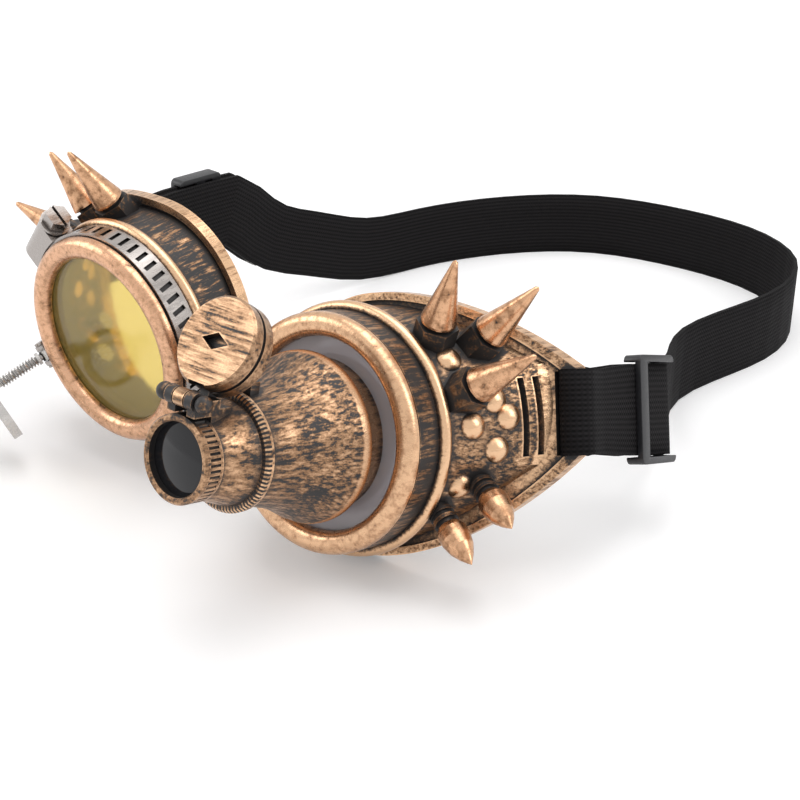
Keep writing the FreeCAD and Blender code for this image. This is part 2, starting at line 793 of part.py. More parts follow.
def front_ring():
    """Knurled ring that turns in the barrel's mouth and holds the front glass."""
    low = barrel_front() + size("loose_fit")
    outer = size("front_ring_radius")
    wall = size("front_ring_wall")
    top = low + size("front_ring_length")
    recess = top - size("front_glass_recess")
    ledge = recess - size("front_glass_thickness")
    inside = outer - 2 * wall
    tail = barrel_front() - size("front_ring_tail")
    ring = turned([(inside - 1, ledge), (outer - wall, ledge), (outer - wall, top - 0.4), (outer - wall + 0.4, top),
                   (outer - 0.5, top), (outer, top - 0.5), (outer, low), (outer - wall, low),
                   (outer - wall, tail), (inside, tail), (inside - 1, ledge - 1)])
    count = int(size("knurl_count"))
    depth = size("knurl_depth")
    groove = box((-depth, -depth, low + 0.8), (depth, depth, top - 1.4))
    cuts = []
    for k in range(count):
        cut = groove.copy()
        cut.rotate(Vector(), Vector(0, 0, 1), 45)
        cut.translate(Vector(outer + depth * 0.35, 0, 0))
        cut.rotate(Vector(), Vector(0, 0, 1), 360 * k / count)
        cuts.append(cut)
    shaped("scope_front_ring", ring.cut(cuts), eye_placement("scope_eye"))
    glass = size("front_ring_radius") - wall
    dome = turned([(0, ledge), (glass, ledge), (glass, recess - 0.5), (glass * 0.6, recess), (0, recess + 0.25)])
    shaped("scope_front_lens", dome, eye_placement("scope_eye"))


def scope_nut():
    front = bound("ring_lip") + bound("lens_gap") + bound("lens_thickness")
    back = front + bound("scope_nut_height")
    inner = bound("scope_stem_radius")
    outer = bound("scope_nut_radius")
    turned_body("scope_back_nut", [(inner, -front), (outer, -front), (outer, -back), (inner, -back)],
                eye_placement("scope_eye"))


# Flip cap on its hinge over the scope's front

def hinge_point():
    """Middle of the cap's hinge pin in the scope eye's frame."""
    top = barrel_front() + size("loose_fit") + size("front_ring_length")
    return Vector(0, size("front_ring_radius") + size("hinge_rise"), top - size("hinge_setback"))


def opened(shape):
    """Turn a cap shape from closed to open about the hinge pin."""
    shape = shape.copy()
    shape.rotate(hinge_point(), Vector(1, 0, 0), -size("cap_open_angle"))
    return shape


def flip_cap():
    """Cap shell with its knuckle, and the plate with a peephole on its inner face."""
    hinge = hinge_point()
    inner = hinge.z + size("hinge_setback") + size("cap_face_gap")
    plate, thick = size("cap_plate_thickness"), size("cap_thickness")
    radius, seam = size("cap_radius"), size("cap_seam")
    knuckle = size("hinge_knuckle_radius")
    half = size("hinge_knuckle_width") / 2
    low = inner + plate
    shell = turned([(0, low), (radius - seam, low), (radius - seam, low + seam), (radius, low + seam),
                    (radius, low + thick - 1), (radius - 1, low + thick), (0, low + thick)])
    eye = cylinder(knuckle, 2 * half, hinge - Vector(half, 0, 0), Vector(1, 0, 0))
    arm = box((-half, radius * 0.8, low + 0.2), (half, hinge.y, low + thick * 0.7))
    neck = box((-half, hinge.y - knuckle, hinge.z), (half, hinge.y, low + thick * 0.7))
    bore = cylinder(size("hinge_pin_radius") + size("running_fit"), 4 * half,
                    hinge - Vector(2 * half, 0, 0), Vector(1, 0, 0))
    rim = turned([(0, inner), (radius - 0.6, inner), (radius, inner + 0.6), (radius, low - seam), (0, low - seam)])
    rim = rim.fuse(cylinder(radius - seam, seam, Vector(0, 0, low - seam)))
    hole = size("cap_peephole")
    diamond = Part.makePolygon([Vector(hole * 1.25, 0, inner - 1), Vector(0, hole * 0.62, inner - 1),
                                Vector(-hole * 1.25, 0, inner - 1), Vector(0, -hole * 0.62, inner - 1),
                                Vector(hole * 1.25, 0, inner - 1)])
    peep = Part.Face(diamond).extrude(Vector(0, 0, plate * 0.6 + 1))
    eye_frame = eye_placement("scope_eye")
    keep_out = box((-half - 1, radius * 0.9, inner - 0.5), (half + 1, hinge.y, low))
    shaped("flip_cap", opened(shell.fuse([arm, neck, eye]).cut(bore)), eye_frame)
    shaped("flip_cap_plate", opened(rim.cut(peep).cut(keep_out)), eye_frame)


def cap_hinge():
    """Two knuckles on a saddle over the barrel, and the ball-ended pin through them."""
    hinge = hinge_point()
    half = size("hinge_knuckle_width") / 2
    gap = size("loose_fit")
    outer = half + gap + size("hinge_knuckle_width") * 0.8
    knuckle = size("hinge_knuckle_radius")
    ring_top = size("front_ring_radius") + gap
    foot_top = barrel_front()
    foot_back = foot_top - size("barrel_length") * 0.62
    saddle = box((-outer, 0, foot_back), (outer, ring_top + 1.6, foot_top))
    low, top = size("scope_neck_depth") + size("neck_ring_width"), barrel_front()
    core = Part.makeCone(size("barrel_back_radius"), size("barrel_front_radius"), top - low, Vector(0, 0, low))
    saddle = saddle.cut(core).cut(box((-outer, -1, low), (outer, size("barrel_front_radius") * 0.7, top)))
    parts = []
    for sign in (-1, 1):
        near, far = sorted((sign * (half + gap), sign * outer))
        post = box((near, ring_top, foot_top - 2.4), (far, hinge.y, hinge.z + knuckle * 0.3))
        eye = cylinder(knuckle, far - near, Vector(near, hinge.y, hinge.z), Vector(1, 0, 0))
        parts += [post, eye]
    bore = cylinder(size("hinge_pin_radius"), 2 * outer, hinge - Vector(outer, 0, 0), Vector(1, 0, 0))
    swing = size("hinge_setback") + size("cap_face_gap") + size("cap_plate_thickness") + size("cap_thickness") * 0.7
    channel = box((-half - gap, 0, hinge.z - swing - gap), (half + gap, 2 * hinge.y, 2 * hinge.z))
    shaped("cap_hinge_bracket", saddle.fuse(parts).cut([bore, channel]), eye_placement("scope_eye"))
    pin = cylinder(size("hinge_pin_radius"), 2 * outer, hinge - Vector(outer, 0, 0), Vector(1, 0, 0))
    ball = size("hinge_ball_radius")
    set_in = math.sqrt(ball ** 2 - size("hinge_pin_radius") ** 2)
    for sign in (-1, 1):
        end = Part.makeSphere(ball, hinge + Vector(sign * (outer + set_in), 0, 0))
        inside = box((-outer, hinge.y - 2 * ball, hinge.z - 2 * ball), (outer, hinge.y + 2 * ball, hinge.z + 2 * ball))
        pin = pin.fuse(end.cut(inside))
    shaped("cap_hinge_pin", pin, eye_placement("scope_eye"))


# Worm clamp round the other eye's collar

def band_radius():
    return size("ring_outer_radius") + size("running_fit")


def band_span():
    """Front and back of the clamp band, between the ring and the bead."""
    front = -size("ring_lip") - 1.5 * size("loose_fit")
    return front, front - size("band_width")


def clamp_band():
    inner = band_radius()
    outer = inner + size("band_thickness")
    front, back = band_span()
    band = cylinder(outer, front - back, Vector(0, 0, back)).cut(cylinder(inner, front - back, Vector(0, 0, back)))
    half, width = size("band_slot_length") / 2, size("band_slot_width") / 2
    middle = (front + back) / 2
    slot = box((inner - 1, -width, middle - half), (outer + 1, width, middle + half))
    slot.rotate(Vector(inner, 0, middle), Vector(1, 0, 0), 12)
    count = int(size("band_slot_count"))
    cuts = []
    for k in range(count):
        cut = slot.copy()
        cut.rotate(Vector(), Vector(0, 0, 1), size("band_slot_start") + size("band_slot_pitch") * k)
        cuts.append(cut)
    shaped("clamp_band", band.cut(cuts), eye_placement("clamp_eye"))


def on_collar(shape, angle):
    """Turn a shape made with x outward about the eye's axis."""
    shape = shape.copy()
    shape.rotate(Vector(), Vector(0, 0, 1), angle)
    return shape


def worm_clamp():
    """Housing over the band and the hex-headed worm screw through it."""
    base = band_radius() + size("band_thickness")
    front, back = band_span()
    middle = (front + back) / 2
    half = size("housing_length") / 2
    wall, worm = size("housing_wall"), size("worm_radius")
    axis = base + wall + worm + size("running_fit")
    wide = size("band_width") / 2 + 0.5
    body = box((base - 3, -half, middle - wide), (axis, half, middle + wide))
    crown = cylinder(wide, 2 * half, Vector(axis, -half, middle), Vector(0, 1, 0))
    top = base + size("housing_height")
    crown = crown.common(box((axis - 0.1, -half, middle - wide), (top, half, middle + wide)))
    bore = cylinder(worm + size("running_fit"), 4 * half, Vector(axis, -2 * half, middle), Vector(0, 1, 0))
    saddle = cylinder(base, 4 * wide, Vector(0, 0, middle - 2 * wide))
    bead = Part.makeTorus(size("bead_ring_radius"), size("bead_radius") + size("loose_fit"),
                          Vector(0, 0, -size("collar_depth")))
    housing = body.fuse(crown).cut([bore, saddle, bead])
    shaped("clamp_housing", on_collar(housing, size("housing_angle")), eye_placement("clamp_eye"))
    gap = size("loose_fit")
    head = size("worm_head_length")
    flats = hexagon(size("worm_head_flats"), half + gap + 0.8, half + gap + head)
    washer = cylinder(size("worm_head_flats") * 0.66, 0.8, Vector(0, 0, half + gap))
    shank = cylinder(worm, 2 * half + gap + 1, Vector(0, 0, -half - 1))
    slot = box((-5, -0.45, half + gap + head - 1), (5, 0.45, half + gap + head + 1))
    screw = flats.fuse([washer, shank]).cut(slot)
    screw.Placement = Placement(Vector(axis, 0, middle), Rotation(Vector(0, 0, 1), Vector(0, -1, 0)))
    shaped("clamp_screw", on_collar(screw, size("housing_angle")), eye_placement("clamp_eye"))


# Loupe on the clamp

def loupe_pivot():
    """Place of the loupe's pivot, made with x outward from the collar."""
    front, back = band_span()
    out = band_radius() + size("band_thickness") + size("loupe_pivot_height")
    return Vector(out, 0, front - 1.0)


ROD_DIRECTION = Vector(0.456, 0.19, 0.898)


def rod_frame():
    """Along the rod, along the pivot, and square to both, with x outward from the collar."""
    ahead = Vector(ROD_DIRECTION)
    ahead.normalize()
    pivot = Vector(0, 1, 0) - ahead * ahead.y
    pivot.normalize()
    return ahead, pivot, ahead.cross(pivot)


def on_rod(shape):
    """Move a shape made along z, pivot along y, to the loupe's rod."""
    ahead, pivot, side = rod_frame()
    side = pivot.cross(ahead)
    place = loupe_pivot()
    matrix = Matrix(side.x, pivot.x, ahead.x, place.x, side.y, pivot.y, ahead.y, place.y,
                    side.z, pivot.z, ahead.z, place.z, 0, 0, 0, 1)
    shape = shape.copy()
    shape.Placement = Placement(matrix).multiply(shape.Placement)
    return on_collar(shape, size("loupe_angle"))


def rod_length():
    """From the pivot to the ball at the rod's end, which rests on the table."""
    ahead, pivot, side = rod_frame()
    frame = eye_placement("clamp_eye").multiply(
        Placement(Vector(), Rotation(Vector(0, 0, 1), size("loupe_angle"))))
    drop = frame.multVec(loupe_pivot()).z + size("table_drop") - size("loupe_ball_radius")
    return drop / -frame.Rotation.multVec(ahead).z


def loupe_eye_half():
    return size("loupe_bracket_width") / 2 - size("loupe_ear_thickness") - size("loose_fit")


def on_pivot(shape):
    """Tip a shape made with its pivot along y to the loupe's own pivot axis."""
    ahead, pivot, side = rod_frame()
    tip = Rotation(Vector(0, 1, 0), pivot)
    place = loupe_pivot()
    shape = shape.copy()
    shape.Placement = Placement(place - tip.multVec(place), tip).multiply(shape.Placement)
    return shape


def loupe_bracket():
    """Fork on the clamp band: a foot that follows the band and two ears for the pivot."""
    base = band_radius() + size("band_thickness")
    front, back = band_span()
    half = size("loupe_bracket_width") / 2
    ear = size("loupe_ear_thickness")
    pivot = loupe_pivot()
    foot = box((base - 2, -half, back + 0.4), (base + 1.2, half, front))
    parts = []
    round_end = size("loupe_pivot_radius") + 1.2
    for low in (-half, half - ear):
        plate = box((base + 0.6, low, pivot.z - round_end), (pivot.x, low + ear, pivot.z + round_end))
        end = cylinder(round_end, ear, Vector(pivot.x, low, pivot.z), Vector(0, 1, 0))
        parts += [on_pivot(plate), on_pivot(end)]
    bore = cylinder(size("loupe_pivot_radius"), 4 * half, pivot - Vector(0, 2 * half, 0), Vector(0, 1, 0))
    saddle = cylinder(base, 4 * size("band_width"), Vector(0, 0, back - size("band_width")))
    shape = foot.fuse(parts).cut([on_pivot(bore), saddle])
    shaped("loupe_bracket", on_collar(shape, size("loupe_angle")), eye_placement("clamp_eye"))
    head = size("loupe_pivot_radius") + 0.9
    pin = cylinder(size("loupe_pivot_radius"), 2 * half + 1.4, pivot - Vector(0, half + 0.7, 0), Vector(0, 1, 0))
    for low in (-half - 1.0, half):
        pin = pin.fuse(cylinder(head, 1.0, Vector(pivot.x, low, pivot.z), Vector(0, 1, 0)))
    shaped("loupe_pivot_pin", on_collar(on_pivot(pin), size("loupe_angle")), eye_placement("clamp_eye"))


def spring_start():
    return size("loupe_pivot_radius") + 2.6


def loupe_arm():
    """Rod with a flat eye for the pivot, a shoulder for the spring and a ball at its end."""
    half = loupe_eye_half()
    eye = cylinder(size("loupe_pivot_radius") + 1.1, 2 * half, Vector(0, -half, 0), Vector(0, 1, 0))
    rod = cylinder(size("loupe_rod_radius"), rod_length())
    shoulder = cylinder(size("loupe_rod_radius") + 0.9, 1.0, Vector(0, 0, spring_start() - 1.0))
    bore = cylinder(size("loupe_pivot_radius") + size("running_fit"), 4 * half, Vector(0, -2 * half, 0),
                    Vector(0, 1, 0))
    shaped("loupe_arm", on_rod(eye.fuse([rod, shoulder]).cut(bore)), eye_placement("clamp_eye"))
    ball = Part.makeSphere(size("loupe_ball_radius"), Vector(0, 0, rod_length()))
    ball = ball.cut(cylinder(size("loupe_rod_radius"), rod_length()))
    shaped("loupe_end_ball", on_rod(ball), eye_placement("clamp_eye"))


def loupe_spring():
    """A wound spring on the rod, one tube swept along quarter-turn arcs."""
    wire = size("spring_wire") / 2
    radius = size("loupe_rod_radius") + size("spring_clearance") + wire
    pitch, turns = size("spring_pitch"), size("spring_turns")
    low = spring_start() + wire + 0.05
    steps = int(round(turns * 4))

    def at(step):
        angle = math.pi / 2 * step
        return Vector(radius * math.cos(angle), radius * math.sin(angle), low + pitch * step / 4)

    arcs = [Part.Arc(at(k), at(k + 0.5), at(k + 1)).toShape() for k in range(steps)]
    start = arcs[0].tangentAt(arcs[0].FirstParameter)
    finish = arcs[-1].tangentAt(arcs[-1].LastParameter)
    lead = Part.makeLine(at(0) - start * 2 * wire, at(0))
    trail = Part.makeLine(at(steps), at(steps) + finish * 2 * wire)
    path = Part.Wire([lead] + arcs + [trail])
    turn = Rotation(Vector(0, 0, 1), start)
    corners = [at(0) - start * 2 * wire + turn.multVec(Vector(wire * math.cos(math.pi / 3 * k),
                                                              wire * math.sin(math.pi / 3 * k), 0))
               for k in range(7)]
    tube = path.makePipeShell([Part.makePolygon(corners)], True, False)
    gap = min((at(k / 4) - at(k / 4 + 4 + d / 8)).Length for k in range(8) for d in range(-8, 9)) - 2 * wire
    print(f"spring: {turns:.0f} turns, least gap to itself {gap:.2f} mm")
    item = shaped("loupe_spring", on_rod(tube), eye_placement("clamp_eye"))
    return item


def loupe_lens_centre():
    """Middle of the loupe's lens, along the rod and off to its side."""
    turn = math.radians(-62)
    off = size("loupe_lens_offset")
    return Vector(off * math.sin(turn), off * math.cos(turn), size("loupe_carrier_reach"))


def loupe_lens():
    """Collar that slides on the rod, with the rim of the lens beside it."""
    middle = loupe_lens_centre()
    radius, wall = size("loupe_lens_radius"), size("loupe_rim_wall")
    thick = size("loupe_lens_thickness")
    collar_half = size("loupe_collar_length") / 2
    reach = size("loupe_carrier_reach")
    rim_half = thick / 2 + 0.6
    rim = cylinder(radius + wall, 2 * rim_half, middle - Vector(0, 0, rim_half))
    collar = cylinder(size("loupe_collar_radius"), 2 * collar_half, Vector(0, 0, reach - collar_half))
    stem = middle - Vector(0, 0, reach)
    arm = cylinder(rim_half * 0.8, stem.Length - radius, Vector(0, 0, reach), stem)
    bore = cylinder(size("loupe_rod_radius") + size("running_fit"), 8 * collar_half,
                    Vector(0, 0, reach - 4 * collar_half))
    seat = cylinder(radius, thick, middle - Vector(0, 0, thick / 2))
    window = cylinder(radius - 0.8, 4 * rim_half, middle - Vector(0, 0, 2 * rim_half))
    carrier = rim.fuse([collar, arm]).cut([bore, seat, window])
    shaped("loupe_carrier", on_rod(carrier), eye_placement("clamp_eye"))
    shaped("loupe_lens", on_rod(seat), eye_placement("clamp_eye"))


# Head strap

def strap_frame(eye):
    """Fold of the strap at one cup: its place, and the ways back, outward and up."""
    near, far = strap_slot()
    reach = far + size("slot_bar") / 2
    radius = size("flange_bend_radius")
    depth = size("flange_depth") + radius - math.sqrt(radius ** 2 - reach ** 2)
    tilt = math.radians(size("cup_tilt"))
    origin = leaf_point(eye, Vector())
    back = leaf_point(eye, Vector(0, -math.sin(tilt), -math.cos(tilt))) - origin
    up = leaf_point(eye, Vector(0, math.cos(tilt), -math.sin(tilt))) - origin
    out = leaf_point(eye, Vector(1, 0, 0)) - origin
    return leaf_point(eye, Vector(reach, 0, -depth)), back, out, up


def fold_radius():
    """Middle of the strap where it goes round the slot's bar, clear of the bar's front corners."""
    near, far = strap_slot()
    slope = math.asin((far + size("slot_bar") / 2) / size("flange_bend_radius"))
    corner = size("slot_bar") / 2 / math.cos(slope)
    return corner + size("loose_fit") + size("strap_thickness") / 2


def layer_offset():
    return (size("strap_layer_gap") + size("strap_thickness")) / 2


def strap_axis():
    """Middle line between the strap's layers from the scope side round to the clamp side.

    Each station is a place, the way across the strap there and the distance from the nearer fold.
    """
    scope_fold, scope_back, scope_out, scope_up = strap_frame("scope_eye")
    clamp_fold, clamp_back, clamp_out, clamp_up = strap_frame("clamp_eye")
    near, far = size("scope_eye_straight"), size("clamp_eye_straight")
    floor = size("strap_width") / 2 - size("table_drop")
    knots = [Vector(x, y - size("front_setback"), z + floor) for x, y, z in STRAP_ROUTE]
    ends = [[fold + back * straight * share for share in (0.6, 1.0)]
            for fold, back, straight in ((scope_fold, scope_back, near), (clamp_fold, clamp_back, far))]
    curve = Part.BSplineCurve()
    curve.interpolate(ends[0] + knots + ends[1][::-1])
    steps = 48
    first, last = curve.parameter(ends[0][1]), curve.parameter(ends[1][1])
    loop = [curve.value(first + (last - first) * k / steps) for k in range(steps + 1)]
    run = [0.0]
    for a, b in zip(loop, loop[1:]):
        run.append(run[-1] + (b - a).Length)
    twist = size("strap_twist")
    rows = [(scope_fold + scope_back * near * k / 6, scope_up, near * k / 6) for k in range(6)]
    for place, length in zip(loop, run):
        left = run[-1] - length
        near_scope, near_clamp = max(0.0, 1 - length / twist), max(0.0, 1 - left / twist)
        across = scope_up * near_scope + clamp_up * near_clamp + Vector(0, 0, 1) * (1 - near_scope - near_clamp)
        rows.append((place, across, min(near + length, far + left)))
    rows += [(clamp_fold + clamp_back * far * k / 6, clamp_up, far * k / 6) for k in range(5, -1, -1)]
    return rows


def outward(rows, i):
    """Way out of the loop at a station, square to the strap."""
    ahead = rows[min(i + 1, len(rows) - 1)][0] - rows[max(i - 1, 0)][0]
    return ahead.cross(rows[i][1]).normalize()


def spread(distance):
    """Half the space between the layers: wide at the fold, close from the pinch on."""
    fold, layer = fold_radius(), layer_offset()
    return layer + (fold - layer) * max(0.0, 1 - distance / size("strap_flare"))


def fold_centres(eye):
    """Half a turn round the cup's slot bar, from the outer layer to the inner one."""
    centre, back, out, up = strap_frame(eye)
    radius = fold_radius()
    return [centre - back * radius * math.sin(math.pi * k / 8) + out * radius * math.cos(math.pi * k / 8)
            for k in range(1, 8)]


def tail_bar():
    """Distance along the strap of the fold that the scope side's tail makes round the slider's far bar."""
    return size("scope_eye_slider_place") + size("slider_length") / 2 - size("strap_layer_gap") / 4


def folded_tail(eye):
    """Outer layer on the scope side: to the slider, round its far bar and a little way back."""
    centre, back, out, up = strap_frame(eye)
    layer, bar = layer_offset(), tail_bar()
    rows = [(centre + back * distance + out * spread(distance), up, distance)
            for distance in (0, bar / 6, bar / 3, bar / 2, bar * 0.8, bar)]
    middle = centre + back * bar
    for k in range(1, 6):
        turn = math.pi * k / 6
        rows.append((middle + (back * math.sin(turn) + out * math.cos(turn)) * layer, up, bar))
    rows += [(centre + back * distance - out * layer, up, bar) for distance in (bar, bar - size("tail_return"))]
    return rows


def long_tail(rows):
    """Outer layer on the clamp side: it runs on behind the slider, along the loop."""
    length = size("tail_length")
    tail = []
    for i in range(len(rows) - 1, -1, -1):
        place, across, distance = rows[i]
        point = place + outward(rows, i) * spread(distance)
        if distance >= length - 0.5:
            last, way, done = tail[-1]
            return tail + [(last + (point - last) * ((length - done) / (distance - done)), across, length)]
        tail.append((point, across, distance))
    return tail


def inner_layer(rows):
    """The layer against the head; on the scope side it passes behind the folded tail."""
    behind = size("strap_thickness") + 2 * size("strap_tip_sheet") + size("loose_fit")
    layer = []
    for i, (place, across, distance) in enumerate(rows):
        share = distance / tail_bar() if 2 * i < len(rows) else 3.0
        extra = behind * max(0.0, min(1.0, 3 * share, 2.6 - share))
        layer.append((place - outward(rows, i) * (spread(distance) + extra), across, distance))
    return layer


def head_strap():
    """One flat band: both folded ends and the loop that stands on the table behind."""
    rows = strap_axis()
    scope_tail, clamp_tail = folded_tail("scope_eye"), long_tail(rows)
    scope_fold = [(point, rows[0][1], 0.0) for point in fold_centres("scope_eye")]
    clamp_fold = [(point, rows[-1][1], 0.0) for point in fold_centres("clamp_eye")]
    band = scope_tail[::-1] + scope_fold + inner_layer(rows) + clamp_fold[::-1] + clamp_tail
    full, pinch = size("strap_width"), size("strap_pinch")
    widths = [pinch + (full - pinch) * min(1.0, distance / (size("strap_flare") * 1.7))
              for point, across, distance in band]
    strap = ribbon([row[0] for row in band], [row[1] for row in band], widths, size("strap_thickness"))
    shaped("head_strap", strap)
    strap_tip("scope_eye", scope_tail, strap)
    strap_tip("clamp_eye", clamp_tail, strap)


def strap_placement(eye):
    """Place of a strap end: x back along the strap, y outward and z along its width."""
    centre, back, out, up = strap_frame(eye)
    side = back.cross(out)
    return Placement(Matrix(back.x, out.x, side.x, centre.x, back.y, out.y, side.y, centre.y,
                            back.z, out.z, side.z, centre.z, 0, 0, 0, 1))


def strap_slider(eye):
    """Frame slider: a raised bar over the strap's tail, and two low bars under it."""
    tail_top = layer_offset() + size("strap_thickness") / 2 + size("loose_fit")
    top = tail_top + size("slider_bar_thickness")
    low = size("strap_layer_gap") / 2 - size("strap_tip_sheet") - size("loose_fit")
    half, tall = size("slider_length") / 2, size("slider_height") / 2
    inside = size("strap_width") / 2 + size("loose_fit")
    bar, place = size("slider_bar"), size(eye + "_slider_place")
    start, end = place - half, place + half
    frame = box((start, -low, inside), (end, top, tall)).fuse([
        box((start, -low, -tall), (end, top, -inside)),
        box((start, tail_top, -tall), (start + bar, top, tall)),
        box((place - bar / 2, -low, -tall), (place + bar / 2, low, tall)),
        box((end - bar, -low, -tall), (end, low, tall)),
    ]).removeSplitter()
    corners = [edge for edge in frame.Edges
               if edge.BoundBox.YLength > top and abs(abs(edge.CenterOfMass.z) - tall) < 0.01]
    frame = frame.makeFillet(min(size("slider_corner"), (tall - inside) * 0.9), corners)
    shaped(eye + "_strap_slider", frame, strap_placement(eye))


def strap_tip(eye, tail, strap):
    """Folded metal sheet over the cut end of the strap's tail."""
    end, across, distance = tail[-1]
    ahead = (end - tail[-2][0]).normalize()
    across = (across - ahead * across.dot(ahead)).normalize()
    half, tall = size("strap_thickness") / 2, size("strap_width") / 2
    cover, length = size("strap_tip_sheet"), size("strap_tip_length")
    outer = box((-length, -half - cover, -tall), (cover, half + cover, tall))
    inner = box((-length - 1, -half, -tall - 1), (0, half, tall + 1))
    out = across.cross(ahead)
    sheet_metal = outer.cut(inner)
    sheet_metal.Placement = Placement(Matrix(ahead.x, out.x, across.x, end.x, ahead.y, out.y, across.y, end.y,
                                             ahead.z, out.z, across.z, end.z, 0, 0, 0, 1))
    shaped(eye + "_strap_tip", sheet_metal.cut(strap))


# Nose bridge

def lug_points(eye):
    """World place of a lug's pin, its outward way and the way along its pin."""
    middle, out, up = lug_frame(eye)
    origin = leaf_point(eye, Vector())
    return (leaf_point(eye, middle), leaf_point(eye, out) - origin, leaf_point(eye, up) - origin)


def nose_bridge():
    """Soft strip with an eye at each lug, twisted by the way the cups stand, and its two pins."""
    start, start_out, start_up = lug_points("scope_eye")
    end, end_out, end_up = lug_points("clamp_eye")
    if start_up.dot(end_up) < 0:
        end_up = end_up * -1
    tall, thick = size("bridge_height"), size("bridge_thickness")
    within, reach = size("bridge_pin_radius") / 2, size("lug_depth") / 2 + size("loose_fit")
    sections = []
    for place, out, up in ((start + start_out * within, start_out, start_up),
                           (start + start_out * reach, start_out, start_up),
                           (end + end_out * reach, end_out * -1, end_up),
                           (end + end_out * within, end_out * -1, end_up)):
        half, side = up * (tall / 2), out.cross(up) * (thick / 2)
        corners = [place + half + side, place + half - side, place - half - side, place - half + side]
        sections.append(Part.makePolygon(corners + corners[:1]))
    strip = Part.makeLoft(sections, True, True)
    pins = []
    half = size("lug_height") / 2 + 0.6
    pin = size("bridge_pin_radius")
    for place, way in ((start, start_up), (end, end_up)):
        way = Vector(way)
        way.normalize()
        eye = cylinder(pin + size("bridge_eye_wall"), tall, place - way * tall / 2, way)
        strip = strip.fuse(eye).cut(cylinder(pin, 4 * half, place - way * 2 * half, way))
        pins.append(cylinder(pin, 2 * half, place - way * half, way))
    shaped("nose_bridge", strip)
    shaped("bridge_pins", Part.makeCompound(pins))


# The whole object

def build():
    wall = wall_loft(0)
    skin = studded(wall)
    whole = cup_leaf_solid(skin)
    for eye in SIDES:
        leaf = drilled(eye, wall, whole.fuse(lug_solid(eye)))
        shaped(eye + "_cup", to_eye(eye, leaf), eye_placement(eye))
        lens_ring(eye)
        lens(eye)
        gasket(eye)
        spikes(eye, wall, skin, leaf)
        strap_slider(eye)
    scope_bell()
    neck_ring()
    barrel()
    front_ring()
    scope_nut()
    flip_cap()
    cap_hinge()
    clamp_band()
    worm_clamp()
    loupe_bracket()
    loupe_arm()
    loupe_spring()
    loupe_lens()
    head_strap()
    nose_bridge()
    doc.recompute()


def sub_parts():
    return [item for item in doc.Objects
            if item.TypeId == "PartDesign::Body" or item.TypeId == "Part::Feature"]


def check():
    for item in doc.Objects:
        if "Invalid" in item.State or "Error" in item.State:
            raise RuntimeError(f"{item.Label} did not build: {item.State}")
    for item in sub_parts():
        if item.Shape.isNull() or not item.Shape.isValid() or not item.Shape.Solids:
            raise RuntimeError(f"{item.Label} has no valid solid")


def export():
    os.makedirs("parts", exist_ok=True)
    for item in sub_parts():
        item.Shape.exportStep(os.path.join("parts", item.Label + ".step"))


build()
check()
export()
print(len(sub_parts()), "sub-parts")
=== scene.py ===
# %% [markdown]
# # Steampunk goggles
# Two copper eye cups with screw-on lens rings lie on a pale table. One eye carries a small scope with a
# flip cap, the other a steel worm clamp with a loupe, and an elastic strap stands behind them. Most of the
# hard pieces come from the CAD model and get their finish here. What that model has in a plainer form is
# made again in this file: the round lens rings, the bell of the scope, the elastic, the sliders and the
# nose bridge.

# %% Load the model
import math

import bmesh
import bpy
from mathutils import Matrix, Vector


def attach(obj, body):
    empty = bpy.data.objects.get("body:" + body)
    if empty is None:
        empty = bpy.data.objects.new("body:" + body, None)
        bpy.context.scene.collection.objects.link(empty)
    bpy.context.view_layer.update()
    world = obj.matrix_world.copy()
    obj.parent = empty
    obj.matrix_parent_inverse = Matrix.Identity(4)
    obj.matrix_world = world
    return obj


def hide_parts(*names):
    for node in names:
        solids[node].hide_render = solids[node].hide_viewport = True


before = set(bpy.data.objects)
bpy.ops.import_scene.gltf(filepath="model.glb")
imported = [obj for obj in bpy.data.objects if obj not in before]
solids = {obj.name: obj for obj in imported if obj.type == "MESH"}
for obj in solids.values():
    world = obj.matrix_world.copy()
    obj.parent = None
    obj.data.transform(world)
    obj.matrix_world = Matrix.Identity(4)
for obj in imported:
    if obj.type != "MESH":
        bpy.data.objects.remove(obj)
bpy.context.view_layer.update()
scene = bpy.context.scene

# %% [markdown]
# ## Camera
# The two lens rings are circles, so the ellipses that they make in the picture give the place of the
# camera: in front of the goggles, to the right and above. A 63 mm lens on a 36 mm frame fits both rings.

# %% Camera
CAMERA_PLACE = Vector((0.259, -0.246, 0.1555))
CAMERA_TURN, CAMERA_TILT = math.radians(39.6), math.radians(25.0)
FOCAL_LENGTH, SENSOR_WIDTH, NEAR_LIMIT = 63.0, 36.0, 0.01

lens_data = bpy.data.cameras.new("camera")
lens_data.lens = FOCAL_LENGTH
lens_data.sensor_width = SENSOR_WIDTH
lens_data.clip_start = NEAR_LIMIT
camera = bpy.data.objects.new("camera", lens_data)
scene.collection.objects.link(camera)
camera.location = CAMERA_PLACE
camera.rotation_euler = (math.pi / 2 - CAMERA_TILT, 0, CAMERA_TURN)
scene.camera = camera
scene.view_settings.view_transform = "Standard"
print("camera with a", FOCAL_LENGTH, "mm lens,", round(CAMERA_PLACE.length, 3), "m from the nose")

# %% [markdown]
# ## Wiring finishes
# Every finish here is a node tree. Writing each link by hand hides the idea of a finish, so a small class
# keeps the wiring short: numbers, colours and sockets go in, and a socket comes out.

